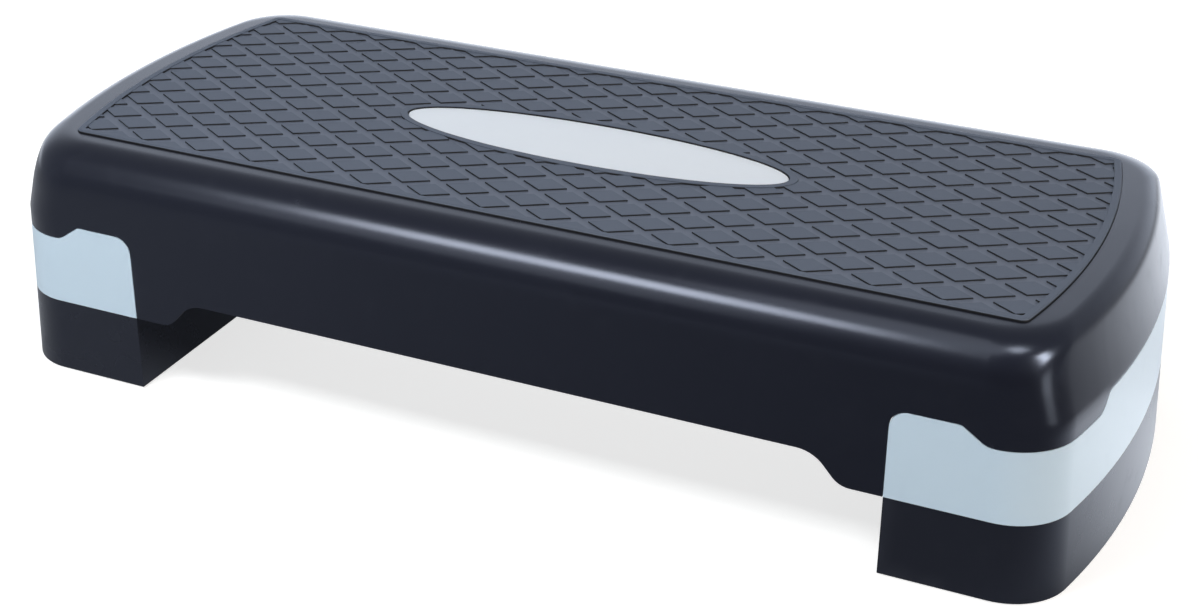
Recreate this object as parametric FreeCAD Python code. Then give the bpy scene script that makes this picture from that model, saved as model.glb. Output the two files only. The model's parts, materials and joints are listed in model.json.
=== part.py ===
import FreeCAD, Part
import math
import os

# Aerobic step platform: a hollow ribbed deck with a rubber tread and a bare oval plate, a collar at
# each end that sets the low height, and a pull-off riser under each collar that sets the full height.
# Millimetres, +Z up. The origin is on the floor under the middle of the deck, X runs along the
# length and the front is -Y. Only the right end is drawn; the left end is its mirror image.

V = FreeCAD.Vector
os.makedirs("parts", exist_ok=True)

# Overall form
floor_length = 684.0        # plan length at the floor
floor_width = 294.0         # plan width at the floor
end_bow_radius = 484.0      # bowed ends, seen from above
riser_height = 48.0         # floor to the riser's top face
deck_height = 98.0          # lobe's lower edge to the flat top
plan_corner = 36.0          # corners, seen from above
side_round = 26.5           # rounding between the flat top and the long walls
end_round = 12.0            # rounding between the flat top and the ends
end_slope = 15.0            # degrees that the ends lean in above the collars
slope_rise = 2.0            # collars' tabs to the foot of that slope
end_draft = 3.0             # degrees that the end walls lean in below that
side_draft = 0.5            # degrees that the long walls lean in
shell_wall = 3.0            # skirt, band and riser wall
deck_plate = 4.0            # plate under the tread
rounding_steps = 9          # sections drawn round a quarter turn
bend_share = 0.95           # bends of a sweep take this share of its room at most
cut_overrun = 20.0          # how far cutting shapes run past what they cut

# Skirt between the ends
skirt_rise = 17.4           # middle of the skirt above the lobes' lower edge
lobe_length = 18.0          # level edge of the lobe, from the end block's face
lobe_sweep = 30.6           # run of the S-shaped sweep up to the skirt
lobe_bends = (13.6, 21.0)   # radii of its lower and upper bend

# End block: collar above, riser below
block_length = 109.0        # floor outline's end to the flat inner face
collar_rise = 42.4          # low run of the collar's band above its lower edge
tab_rise = 9.6              # tabs above the low run
tab_corner = 10.0           # rounded inner corner of the front and back tabs
side_tab_length = 35.5      # level top of the front and back tabs, from the inner face
side_tab_slope = 18.8       # run of their sloping end
end_tab_width = 154.0       # level top of the tab on the end wall
end_tab_slope = 16.0        # run of each of its sloping ends
tab_bends = (4.5, 12.0)     # radii of a slope's upper and lower bend
seam = 0.4                  # gap between the band and the skirt round it

# Ribs
rib_thickness = 2.2
deck_rib_depth = 46.0       # below the deck plate
rib_cell = 60.0             # widest space between the deck's cross ribs
rib_gap = 8.0               # collar's ribs to the deck's ribs above them
rib_stand = 3.0             # riser ribs end this far above the riser's rim

# Screws that hold each collar to the deck, driven from below
screw_pitch_x = 50.0
screw_pitch_y = 56.0
screw_radius = 2.0
screw_head_radius = 4.0
screw_head_height = 2.6
screw_grip = 16.0           # thread inside the deck's column
thread_clearance = 0.05
head_clearance = 0.6
column_radius = 6.0         # hollow columns under the deck plate
seat_wall = 3.0             # round the head's pocket in the collar
seat_thickness = 4.0        # plastic clamped under the head
head_sink = 2.4             # head's outer face above the collar's lower face

# Pegs on the riser that push up into the collar
peg_radius = 8.0
peg_height = 22.0
peg_wall = 2.4
peg_lead = 1.5              # tapered lead-in
peg_pitch_y = 136.0
peg_clearance = 0.35
socket_wall = 2.6
socket_spare = 2.0          # socket's length past the peg's tip

# Rubber feet, the same under the collars and under the risers
foot_radius = 12.0
foot_thickness = 4.0
foot_stand = 1.0            # how far a foot stands out of its pocket
foot_edge = 0.8             # bevel round the foot's face
foot_plug_radius = 9.0      # plug that holds the foot in its boss
foot_plug_length = 6.0
foot_clearance = 0.2
foot_boss_wall = 2.0
foot_pocket_spare = 0.5     # riser's pocket over a collar's foot, beyond the foot itself
foot_face_gap = 4.0         # inner feet's boss to the inner wall

# Tread
tread_margin_side = 7.0     # flat of the deck left beside the tread
tread_margin_end = 11.4     # flat of the deck left past its ends
tread_corner = 5.0
tread_inner_corner = 1.5    # least corner inside the border
tread_sunk = 1.2            # depth of the tread's bed in the deck
tread_base = 1.4            # sheet under the pads
tread_gap = 0.3             # tread to the wall of its bed
frame_width = 4.5
frame_relief = 1.3          # border and oval rim above the sheet
pad_relief = 0.9            # pads above the sheet
pad_pitch_long = 37.7       # pads' diagonals, centre to centre
pad_pitch_short = 23.2
pad_share = 0.73            # pad's own diagonal as a share of the pitch
stake_radius = 2.4          # pegs of the tread, set through the deck and headed over
stake_head_radius = 4.0
stake_head_height = 1.6
stake_clearance = 0.2

# Oval plate
plate_length = 247.0
plate_width = 59.0
plate_thickness = 2.0
plate_gap = 0.4             # plate to the oval rim
rim_width = 5.0
plate_peg_radius = 2.4
plate_peg_length = 6.0
plate_peg_reach_share = 0.8  # pegs keep within this share of the plate's length

# Places worked out from the sizes above
deck_top = riser_height + deck_height
round_start = deck_top - side_round
inner_face = floor_length / 2 - block_length
block_mid = floor_length / 2 - block_length / 2
row_in = block_mid - screw_pitch_x / 2
row_out = block_mid + screw_pitch_x / 2
band_low = riser_height + collar_rise
band_high = band_low + tab_rise
slope_foot = band_high + slope_rise
plate_under = deck_top - deck_plate
deck_rib_low = plate_under - deck_rib_depth
bed = deck_top - tread_sunk
sheet_top = bed + tread_base
head_seat = riser_height + head_sink + screw_head_height
seat_top = head_seat + seat_thickness
foot_boss_radius = foot_radius + foot_clearance + foot_boss_wall
foot_in = inner_face + shell_wall + foot_face_gap + foot_boss_radius
far_x = floor_length / 2 + cut_overrun
far_y = floor_width / 2 + cut_overrun


def box(x0, x1, y0, y1, z0, z1):
    """Box between two corners."""
    return Part.makeBox(x1 - x0, y1 - y0, z1 - z0, V(x0, y0, z0))


def rod(x, y, z0, z1, radius):
    """Upright cylinder."""
    return Part.makeCylinder(radius, z1 - z0, V(x, y, z0))


def line(a, b):
    """Straight edge between two points."""
    return Part.LineSegment(a, b).toShape()


def arc(a, b, c):
    """Circular edge through three points."""
    return Part.Arc(a, b, c).toShape()


def corner_centre(inset_end, inset_side, corner):
    """Centre of the plan's right back corner, for an outline drawn in by the given insets."""
    bow_x = floor_length / 2 - end_bow_radius
    centre_y = floor_width / 2 - inset_side - corner
    reach = end_bow_radius - inset_end - corner
    return bow_x + math.sqrt(reach ** 2 - centre_y ** 2), centre_y


def plan_wire(z, inset_end, inset_side, corner):
    """Closed plan outline at height z: straight sides, bowed ends and round corners."""
    bow_x = floor_length / 2 - end_bow_radius
    bow = end_bow_radius - inset_end
    side = floor_width / 2 - inset_side
    kx, ky = corner_centre(inset_end, inset_side, corner)
    turn = math.atan2(ky, kx - bow_x)
    half_turn = (turn + math.pi / 2) / 2
    tip = bow_x + bow
    meet_x = bow_x + bow * math.cos(turn)
    meet_y = bow * math.sin(turn)
    mid_x = kx + corner * math.cos(half_turn)
    mid_y = ky + corner * math.sin(half_turn)
    edges = []
    for s in (1, -1):
        low_side = V(s * kx, -s * side, z)
        low_meet = V(s * meet_x, -s * meet_y, z)
        high_meet = V(s * meet_x, s * meet_y, z)
        high_side = V(s * kx, s * side, z)
        edges.append(arc(low_side, V(s * mid_x, -s * mid_y, z), low_meet))
        edges.append(arc(low_meet, V(s * tip, 0, z), high_meet))
        edges.append(arc(high_meet, V(s * mid_x, s * mid_y, z), high_side))
        edges.append(line(high_side, V(-s * kx, s * side, z)))
    return Part.Wire(edges)


def rounded_over(z, foot, inset, lean, top, radius):
    """Inset at height z of a wall that leans in above its foot and is rounded over into a flat top."""
    slope = math.tan(math.radians(lean))
    turn_z = top - radius
    turn_inset = inset + (turn_z - foot) * slope + radius / math.cos(math.radians(lean))
    if z < turn_z + radius * math.sin(math.radians(lean)):
        return inset + (z - foot) * slope
    return turn_inset - math.sqrt(max(0, radius ** 2 - (z - turn_z) ** 2))


def side_inset(z, plate):
    """How far the long walls are drawn in at height z, on the form a plate's thickness inside the top."""
    return rounded_over(z, 0, 0, side_draft, deck_top - plate, side_round - plate)


def end_inset(z, plate):
    """How far the ends are drawn in at height z: near upright beside the collars, sloping above them."""
    foot = min(z, slope_foot)
    draft = foot * math.tan(math.radians(end_draft))
    if z <= slope_foot:
        return draft
    return rounded_over(z, foot, draft, end_slope, deck_top - plate, end_round - plate)


def step_body(wall, plate):
    """Whole form of the step, drawn in by a wall and lowered by a plate, with its top edge rounded."""
    def section(z):
        return plan_wire(z, wall + end_inset(z, plate), wall + side_inset(z, plate), plan_corner - wall)

    rise = deck_top - plate - round_start
    turns = [math.pi / 2 * i / rounding_steps for i in range(rounding_steps + 1)]
    walls = Part.makeLoft([section(0), section(slope_foot)], True, True)
    slopes = Part.makeLoft([section(slope_foot), section(round_start)], True, True)
    cap = Part.makeLoft([section(round_start + rise * math.sin(a)) for a in turns], True, False)
    return walls.fuse([slopes, cap]).removeSplitter()


def sweep_edges(x0, z0, x1, z1, bends):
    """S-shaped sweep in the XZ plane, level at both ends: two bends and the straight run between them."""
    run = abs(x1 - x0)
    rise = abs(z1 - z0)
    room = (run ** 2 + rise ** 2) / (2 * rise)
    ease = min(1, bend_share * room / sum(bends))
    first, second = bends[0] * ease, bends[1] * ease
    straight = math.sqrt(2 * rise * (room - first - second))
    turn = math.atan2(rise - first - second, run) + math.atan2(first + second, straight)

    def at(x, z):
        return V(x0 + math.copysign(x, x1 - x0), 0, z0 + math.copysign(z, z1 - z0))

    def near(angle):
        return at(first * math.sin(angle), first * (1 - math.cos(angle)))

    def far(angle):
        return at(run - second * math.sin(angle), rise - second * (1 - math.cos(angle)))

    bend_in = arc(at(0, 0), near(turn / 2), near(turn))
    bend_out = arc(far(turn), far(turn / 2), at(run, rise))
    return [bend_in, line(near(turn), far(turn)), bend_out]


def prism(edges, along):
    """Solid from a closed flat profile, run equally to both sides of its plane."""
    face = Part.Face(Part.Wire(edges))
    face.translate(along * -1)
    return face.extrude(along * 2)


def collar_form(grow):
    """Room that the right collar takes in the step, seen from the side and the end, grown by a gap."""
    low = band_low + grow
    high = band_high + grow
    under = riser_height - cut_overrun
    x_in = inner_face - grow
    turn = tab_corner + grow
    knee = turn * (1 - math.sqrt(0.5))
    slope_start = inner_face + side_tab_length
    slope_end = slope_start + side_tab_slope
    side_view = [line(V(x_in, 0, under), V(x_in, 0, high - turn))]
    corner_end = V(x_in + turn, 0, high)
    side_view.append(arc(V(x_in, 0, high - turn), V(x_in + knee, 0, high - knee), corner_end))
    side_view.append(line(corner_end, V(slope_start, 0, high)))
    side_view += sweep_edges(slope_start, high, slope_end, low, tab_bends)
    side_view.append(line(V(slope_end, 0, low), V(far_x, 0, low)))
    side_view.append(line(V(far_x, 0, low), V(far_x, 0, under)))
    side_view.append(line(V(far_x, 0, under), V(x_in, 0, under)))
    form = prism(side_view, V(0, far_y, 0))
    top = end_tab_width / 2
    foot = top + end_tab_slope
    end_view = sweep_edges(-foot, low, -top, high, tab_bends[::-1])
    end_view.append(line(V(-top, 0, high), V(top, 0, high)))
    end_view += sweep_edges(top, high, foot, low, tab_bends)
    end_view.append(line(V(foot, 0, low), V(foot, 0, band_low - tab_rise)))
    end_view.append(line(V(foot, 0, band_low - tab_rise), V(-foot, 0, band_low - tab_rise)))
    end_view.append(line(V(-foot, 0, band_low - tab_rise), V(-foot, 0, low)))
    tab = Part.Face(Part.Wire(end_view))
    tab.rotate(V(0, 0, 0), V(0, 0, 1), 90)
    tab.translate(V(block_mid, 0, 0))
    return form.fuse(tab.extrude(V(far_x - block_mid, 0, 0)))


def largest_solid(shape):
    """The largest solid of a shape, which drops slivers that a cut may leave apart."""
    return max(shape.Solids, key=lambda solid: solid.Volume)


def mirrored(shape):
    """The same piece at the left end."""
    return shape.mirror(V(0, 0, 0), V(1, 0, 0))


def block_points(pitch_y):
    """Four places on the two rows of the right end block."""
    return [(x, s * pitch_y / 2) for x in (row_in, row_out) for s in (-1, 1)]


def foot_points():
    """Named places of the four feet of the right end block."""
    foot_out, foot_y = corner_centre(0, 0, plan_corner)
    return {
        "front_inner": (foot_in, -foot_y),
        "front_outer": (foot_out, -foot_y),
        "back_inner": (foot_in, foot_y),
        "back_outer": (foot_out, foot_y),
    }


def block_ribs(z0, z1):
    """Ribs of an end block, laid between its screws, sockets and feet."""
    foot_y = corner_centre(0, 0, plan_corner)[1]
    screw_y = screw_pitch_y / 2
    peg_y = peg_pitch_y / 2
    half = rib_thickness / 2
    ribs = [box(block_mid - half, block_mid + half, -far_y, far_y, z0, z1)]
    for y in (0, (screw_y + peg_y) / 2, (peg_y + foot_y) / 2):
        for s in ((1, -1) if y else (1,)):
            ribs.append(box(inner_face, far_x, s * y - half, s * y + half, z0, z1))
    return ribs


def foot_hole(x, y, face, core_top):
    """Pocket for a foot set in a downward face, and the hollow core of its boss above."""
    pocket_top = face + foot_thickness - foot_stand
    pocket = rod(x, y, face - cut_overrun, pocket_top, foot_radius + foot_clearance)
    return [pocket, rod(x, y, face, core_top, foot_plug_radius + foot_clearance)]


def cross_rib_places():
    """Places of the deck's cross ribs: the screw rows and even steps between the inner rows."""
    cells = math.ceil(2 * row_in / rib_cell)
    step = 2 * row_in / cells
    middle = [-row_in + i * step for i in range(cells + 1)]
    centres = [x + step / 2 for x in middle[:-1]]
    return [-row_out] + middle + [row_out], centres


def stake_points():
    """Places of the tread's stakes, in the middle of the deck's rib cells."""
    centres = cross_rib_places()[1] + [-block_mid, block_mid]
    rib_y = (screw_pitch_y / 2 + floor_width / 2) / 2
    y = (screw_pitch_y / 2 + rib_y) / 2
    return [(x, s * y) for x in centres for s in (-1, 1)]


def plate_peg_points():
    """Places of the oval plate's pegs, along its middle."""
    reach = plate_length / 2 * plate_peg_reach_share
    return [(x, 0) for x in cross_rib_places()[1] if abs(x) < reach]


def tread_face(inset, z):
    """Flat face inside the tread's outline, drawn in by inset."""
    end = end_inset(deck_top, 0) + tread_margin_end + inset
    side = side_inset(deck_top, 0) + tread_margin_side + inset
    return Part.Face(plan_wire(z, end, side, max(tread_corner - inset, tread_inner_corner)))


def oval_face(grow, z):
    """Flat oval face, larger than the plate by grow."""
    oval = Part.Ellipse(V(0, 0, z), plate_length / 2 + grow, plate_width / 2 + grow)
    return Part.Face(Part.Wire(oval.toShape()))


def make_deck(outer, inner):
    """Deck: rounded shell with lobed skirt, ribs, screw columns and the tread's bed."""
    sweep_low = inner_face - lobe_length
    sweep_high = sweep_low - lobe_sweep
    skirt = riser_height + skirt_rise
    under = riser_height - cut_overrun
    arch = [line(V(-sweep_low, 0, under), V(-sweep_low, 0, riser_height))]
    arch += sweep_edges(-sweep_low, riser_height, -sweep_high, skirt, lobe_bends)
    arch.append(line(V(-sweep_high, 0, skirt), V(sweep_high, 0, skirt)))
    arch += sweep_edges(sweep_high, skirt, sweep_low, riser_height, lobe_bends[::-1])
    arch.append(line(V(sweep_low, 0, riser_height), V(sweep_low, 0, under)))
    arch.append(line(V(sweep_low, 0, under), V(-sweep_low, 0, under)))

    half = rib_thickness / 2
    cross_ribs = cross_rib_places()[0]
    kept = [box(x - half, x + half, -far_y, far_y, deck_rib_low, deck_top) for x in cross_ribs]
    rib_y = (screw_pitch_y / 2 + floor_width / 2) / 2
    for y in (screw_pitch_y / 2, rib_y):
        for s in (1, -1):
            kept.append(box(-far_x, far_x, s * y - half, s * y + half, deck_rib_low, deck_top))
    for x, y in block_points(screw_pitch_y):
        for s in (1, -1):
            kept.append(rod(s * x, y, seat_top, deck_top, column_radius))
    hollow = inner.cut(kept)

    body = outer.common(box(-far_x, far_x, -far_y, far_y, riser_height, deck_top + cut_overrun))
    right_room = collar_form(seam)
    cuts = [hollow, prism(arch, V(0, far_y, 0)), right_room, mirrored(right_room)]
    cuts.append(tread_face(-tread_gap, bed).extrude(V(0, 0, cut_overrun)))
    pilot_top = seat_top + screw_grip + screw_radius
    pilot = screw_radius + thread_clearance
    for x, y in block_points(screw_pitch_y):
        for s in (1, -1):
            cuts.append(rod(s * x, y, seat_top - cut_overrun, pilot_top, pilot))
    for x, y in stake_points():
        cuts.append(rod(x, y, plate_under - cut_overrun, deck_top, stake_radius + stake_clearance))
    for x, y in plate_peg_points():
        cuts.append(rod(x, y, plate_under - cut_overrun, deck_top, plate_peg_radius + stake_clearance))
    return largest_solid(body.cut(cuts))


def make_collar(outer, inner):
    """Right collar: grey band with tabs, closed below by a ribbed web with sockets and screw seats."""
    room = collar_form(0).common(box(inner_face, far_x, -far_y, far_y, riser_height, deck_top))
    web_top = riser_height + shell_wall
    rib_top = deck_rib_low - rib_gap
    socket_top = riser_height + peg_height + socket_spare
    socket_hole = peg_radius + peg_clearance
    pocket = screw_head_radius + head_clearance
    kept = [box(inner_face, far_x, -far_y, far_y, riser_height, web_top)]
    kept.append(box(inner_face, inner_face + shell_wall, -far_y, far_y, riser_height, rib_top))
    kept += block_ribs(riser_height, rib_top)
    for x, y in block_points(peg_pitch_y):
        kept.append(rod(x, y, riser_height, socket_top, socket_hole + socket_wall))
    for x, y in block_points(screw_pitch_y):
        kept.append(rod(x, y, riser_height, seat_top, pocket + seat_wall))
    boss_top = web_top + foot_thickness + foot_plug_length
    for x, y in foot_points().values():
        kept.append(rod(x, y, riser_height, boss_top, foot_boss_radius))
    body = outer.common(room).cut(inner.cut(kept))

    under = riser_height - cut_overrun
    cuts = []
    for x, y in block_points(peg_pitch_y):
        cuts.append(rod(x, y, under, socket_top + cut_overrun, socket_hole))
    for x, y in block_points(screw_pitch_y):
        cuts.append(rod(x, y, under, head_seat, pocket))
        cuts.append(rod(x, y, under, seat_top + cut_overrun, screw_radius + head_clearance))
    for x, y in foot_points().values():
        cuts += foot_hole(x, y, riser_height, boss_top + cut_overrun)
    return largest_solid(body.cut(cuts))


def make_riser(outer, inner):
    """Right riser: block open below, with ribs, foot bosses and four hollow pegs on top."""
    plate_low = riser_height - shell_wall
    rim = foot_stand
    block = outer.common(box(inner_face, far_x, -far_y, far_y, rim, riser_height))
    inside = inner.common(box(inner_face + shell_wall, far_x, -far_y, far_y, 0, plate_low))
    kept = block_ribs(rim + rib_stand, riser_height)
    for x, y in foot_points().values():
        kept.append(rod(x, y, rim, riser_height, foot_boss_radius))
    body = block.cut(inside.cut(kept))

    tip = riser_height + peg_height
    for x, y in block_points(peg_pitch_y):
        peg = rod(x, y, plate_low, tip - peg_lead, peg_radius)
        lead = Part.makeCone(peg_radius, peg_radius - peg_lead, peg_lead, V(x, y, tip - peg_lead))
        body = body.fuse([peg, lead])
    cuts = []
    for x, y in block_points(peg_pitch_y):
        cuts.append(rod(x, y, rim, tip - peg_lead - peg_wall, peg_radius - peg_wall))
    for x, y in foot_points().values():
        cuts += foot_hole(x, y, rim, plate_low)
        pocket_low = riser_height - foot_stand - foot_pocket_spare
        cuts.append(rod(x, y, pocket_low, riser_height + cut_overrun, foot_radius + foot_pocket_spare))
    return largest_solid(body.cut(cuts).removeSplitter())


def make_foot(x, y, face):
    """Rubber foot set in a downward face, with a bevelled edge and a plug."""
    low = face - foot_stand
    bevel = Part.makeCone(foot_radius - foot_edge, foot_radius, foot_edge, V(x, y, low))
    disc = rod(x, y, low + foot_edge, low + foot_thickness, foot_radius)
    seat = low + foot_thickness
    plug = rod(x, y, seat, seat + foot_plug_length, foot_plug_radius)
    return bevel.fuse([disc, plug]).removeSplitter()


def make_screw(x, y):
    """Pan-head screw driven up through the collar into the deck's column."""
    head = rod(x, y, head_seat - screw_head_height, head_seat, screw_head_radius)
    recess = rod(x, y, head_seat - cut_overrun, head_seat - screw_head_height / 2, screw_radius)
    shank = rod(x, y, head_seat, seat_top + screw_grip, screw_radius)
    tip = Part.makeCone(screw_radius, 0, screw_radius, V(x, y, seat_top + screw_grip))
    return head.cut(recess).fuse([shank, tip]).removeSplitter()


def pad_faces():
    """Diamond outlines of the tread's pads, set in a diagonal lattice over the whole top."""
    step_x = pad_pitch_long / 2
    step_y = pad_pitch_short / 2
    columns = math.ceil((floor_length / 2 - end_inset(deck_top, 0)) / step_x)
    rows = math.ceil((floor_width / 2 - side_inset(deck_top, 0)) / step_y)
    dx = step_x * pad_share
    dy = step_y * pad_share
    faces = []
    for i in range(-columns, columns + 1):
        for j in range(-rows - 1, rows + 1):
            if (i + j) % 2:
                continue
            x = i * step_x
            y = (j + 0.5) * step_y
            corners = [V(x + dx, y, sheet_top), V(x, y + dy, sheet_top)]
            corners += [V(x - dx, y, sheet_top), V(x, y - dy, sheet_top)]
            faces.append(Part.Face(Part.makePolygon(corners + corners[:1])))
    return faces


def make_tread():
    """Rubber tread: sheet with a raised border, an oval rim, diamond pads and headed stakes."""
    window = oval_face(plate_gap, bed)
    sheet = tread_face(0, bed).cut(window).extrude(V(0, 0, tread_base + frame_relief))
    inside = tread_face(frame_width, sheet_top).cut(oval_face(plate_gap + rim_width, sheet_top))

    channels = inside.cut(pad_faces())
    lowered = inside.copy()
    lowered.translate(V(0, 0, pad_relief))
    tread = sheet.cut([lowered.extrude(V(0, 0, cut_overrun)), channels.extrude(V(0, 0, cut_overrun))])

    stakes = []
    for x, y in stake_points():
        stakes.append(rod(x, y, plate_under - stake_head_height, bed + tread_base / 2, stake_radius))
        stakes.append(rod(x, y, plate_under - stake_head_height, plate_under, stake_head_radius))
    return tread.fuse(stakes)


def make_plate():
    """Bare oval plate in the tread's window, with pegs that pass through the deck."""
    plate = oval_face(0, bed).extrude(V(0, 0, plate_thickness))
    pegs = []
    for x, y in plate_peg_points():
        pegs.append(rod(x, y, bed - plate_peg_length, bed + plate_thickness / 2, plate_peg_radius))
    return plate.fuse(pegs)


def main():
    """Make every piece and write one file for each."""
    outer = step_body(0, 0)
    inner = step_body(shell_wall, deck_plate)
    pieces = {
        "deck_shell": make_deck(outer, inner),
        "tread_mat": make_tread(),
        "oval_plate": make_plate(),
    }
    collar = make_collar(outer, inner)
    riser = make_riser(outer, inner)
    screws = Part.makeCompound([make_screw(x, y) for x, y in block_points(screw_pitch_y)])
    for side in ("right", "left"):
        place = mirrored if side == "left" else (lambda shape: shape)
        pieces[side + "_collar"] = place(collar)
        pieces[side + "_collar_screws"] = place(screws)
        pieces[side + "_riser"] = place(riser)
        for name, (x, y) in foot_points().items():
            pieces[side + "_collar_foot_" + name] = place(make_foot(x, y, riser_height))
            pieces[side + "_riser_foot_" + name] = place(make_foot(x, y, foot_stand))
    for node, shape in pieces.items():
        shape.exportStep("parts/" + node + ".step")
        print(node, len(shape.Solids), "solids", round(shape.Volume / 1000, 2), "cm3", shape.isValid())


main()
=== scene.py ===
"""Looks of an aerobic step platform, dressed over its packed construction model.

Sizes are in millimetres, in the frame of the construction model, and become metres where a mesh is
written. X runs along the step, the front is -Y and the floor is at zero. The right end is drawn,
and the left end is its mirror image.
"""
import json
import logging
import math
from collections.abc import Callable, Hashable, Sequence
from dataclasses import dataclass, field, replace
from enum import Enum

import bmesh
import bpy
from mathutils import Matrix, Vector


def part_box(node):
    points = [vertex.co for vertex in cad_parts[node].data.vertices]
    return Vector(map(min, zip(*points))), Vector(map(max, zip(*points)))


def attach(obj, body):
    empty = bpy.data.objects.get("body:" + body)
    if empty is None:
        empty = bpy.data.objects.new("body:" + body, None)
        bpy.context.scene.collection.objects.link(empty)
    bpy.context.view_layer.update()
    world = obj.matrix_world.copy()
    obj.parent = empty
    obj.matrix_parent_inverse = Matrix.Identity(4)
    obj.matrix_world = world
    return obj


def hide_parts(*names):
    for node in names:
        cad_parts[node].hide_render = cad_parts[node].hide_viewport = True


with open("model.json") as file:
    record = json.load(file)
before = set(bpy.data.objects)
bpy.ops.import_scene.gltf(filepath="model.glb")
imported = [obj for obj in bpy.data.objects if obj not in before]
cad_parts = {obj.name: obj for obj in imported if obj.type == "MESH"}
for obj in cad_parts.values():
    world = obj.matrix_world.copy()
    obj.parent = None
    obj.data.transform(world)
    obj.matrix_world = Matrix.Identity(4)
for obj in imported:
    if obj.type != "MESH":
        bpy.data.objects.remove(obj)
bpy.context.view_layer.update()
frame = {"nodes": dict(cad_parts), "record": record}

WHITE = "#ffffff"
MIX_FACTOR, MIX_A, MIX_B, MIX_RESULT = 0, 6, 7, 2   # sockets of a Mix node that mixes colours
MIX_LOW, MIX_HIGH = 2, 3                            # inputs of a Mix node that mixes numbers

MM = 0.001                         # metres in a millimetre
QUARTER = math.pi / 2              # a quarter turn
SHARP_ANGLE = math.radians(38.0)   # edges that turn by more than this stay sharp
TURN_STEPS = 40                    # faces round a turned surface, if no other number is given
CORNER_STEPS = 14                  # faces round a plan corner of the deck, the collars and the risers
SOFT_STEPS = 4                     # faces across a small rounding
EDGE_STEPS = 3                     # faces across a softened edge
SOFT_SHARE = 1 - math.sqrt(0.5)    # inset of the middle of a quarter rounding, as a share of its radius
APART = 0.01                       # keeps the edges of crossing ribs out of one plane

Point = tuple[float, float, float]
Plan = tuple[float, float]
Tree = bpy.types.NodeTree
Socket = bpy.types.NodeSocket
log = logging.getLogger("step_platform")


# Finishes

def linear(colour: str) -> tuple[float, float, float, float]:
    """Turns an sRGB hex colour to linear light.

    Args:
        colour: the colour as "#rrggbb".

    Returns:
        Linear red, green and blue, and an alpha of 1.
    """
    shares = [int(colour[i:i + 2], 16) / 255 for i in (1, 3, 5)]
    light = [s / 12.92 if s <= 0.04045 else ((s + 0.055) / 1.055) ** 2.4 for s in shares]
    return light[0], light[1], light[2], 1.0


def metres(sizes: Sequence[float]) -> tuple[float, ...]:
    """The sizes in metres."""
    return tuple(size * MM for size in sizes)


def per_metre(size: float) -> float:
    """Texture scale at which a pattern's features are about this many millimetres wide."""
    return 1 / (size * MM)


def add_node(tree: Tree, kind: str, inputs: dict | Sequence = (), **settings: object) -> bpy.types.Node:
    """Adds one node with its settings, input values and links.

    Args:
        tree: the node tree that takes the node.
        kind: Blender's name for the node's type.
        inputs: value or output socket for the first inputs in order, or by an input's name or number.
            A Map Range takes its value, the two ends of its span and the level at each end.
        settings: values of the node's own properties.

    Returns:
        The new node.
    """
    node = tree.nodes.new(kind)
    for name, value in settings.items():
        setattr(node, name, value)
    for socket, value in inputs.items() if isinstance(inputs, dict) else enumerate(inputs):
        if isinstance(value, Socket):
            tree.links.new(value, node.inputs[socket])
        else:
            node.inputs[socket].default_value = value
    return node


@dataclass(frozen=True, kw_only=True)
class Finish:
    """A material as it was made.

    Attributes:
        name: the real material and how its surface was made.
        slot: the record's material slot; not used.
        colour: main colour.
        drift_colour: colour that it drifts to in soft patches.
        roughness: mean roughness.
        roughness_swing: most that the roughness drifts to either side.
        drift_mm: width of the soft patches.
        grain_mm: width of the surface's grain.
        grain_depth_mm: depth of the grain.
    """

    name: str
    slot: str
    colour: str
    drift_colour: str
    roughness: float
    roughness_swing: float = 0.03
    drift_mm: float
    grain_mm: float
    grain_depth_mm: float

    def material(self) -> bpy.types.Material:
        """Makes the Blender material at its first use.

        Returns:
            The material.
        """
        made = bpy.data.materials.get(self.name)
        if made is None:
            made = bpy.data.materials.new(self.name)
            made.use_nodes = True
            made.node_tree.nodes.clear()
            shader = self.shader(made.node_tree)
            add_node(made.node_tree, "ShaderNodeOutputMaterial", {"Surface": shader.outputs["BSDF"]})
        return made

    def shader(self, tree: Tree) -> bpy.types.Node:
        """Builds the surface in a node tree and returns its shader node."""
        raise NotImplementedError

    def drift(self, tree: Tree, place: Socket) -> Socket:
        """Soft patches, from 0 to 1, at the drift's own width."""
        noise = {"Vector": place, "Scale": per_metre(self.drift_mm), "Detail": 3.0}
        return add_node(tree, "ShaderNodeTexNoise", noise).outputs["Fac"]

    def tone(self, tree: Tree, share: Socket) -> Socket:
        """The main colour, drifted to the second one by a share."""
        tones = {MIX_FACTOR: share, MIX_A: linear(self.colour), MIX_B: linear(self.drift_colour)}
        return add_node(tree, "ShaderNodeMix", tones, data_type="RGBA").outputs[MIX_RESULT]

    def dullness(self, tree: Tree, drift: Socket) -> Socket:
        """The roughness, which follows the drift."""
        low, high = self.roughness - self.roughness_swing, self.roughness + self.roughness_swing
        dull_range = {"Value": drift, "To Min": low, "To Max": high}
        return add_node(tree, "ShaderNodeMapRange", dull_range).outputs["Result"]

    def grain(self, tree: Tree, place: Socket) -> Socket:
        """Adds the fine grain.

        Args:
            tree: the node tree that takes it.
            place: place on the piece.

        Returns:
            Normal of the grained surface.
        """
        noise = {"Vector": place, "Scale": per_metre(self.grain_mm), "Detail": 2.0}
        height = add_node(tree, "ShaderNodeTexNoise", noise).outputs["Fac"]
        bump = {"Height": height, "Distance": self.grain_depth_mm * MM}
        return add_node(tree, "ShaderNodeBump", bump).outputs["Normal"]


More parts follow.
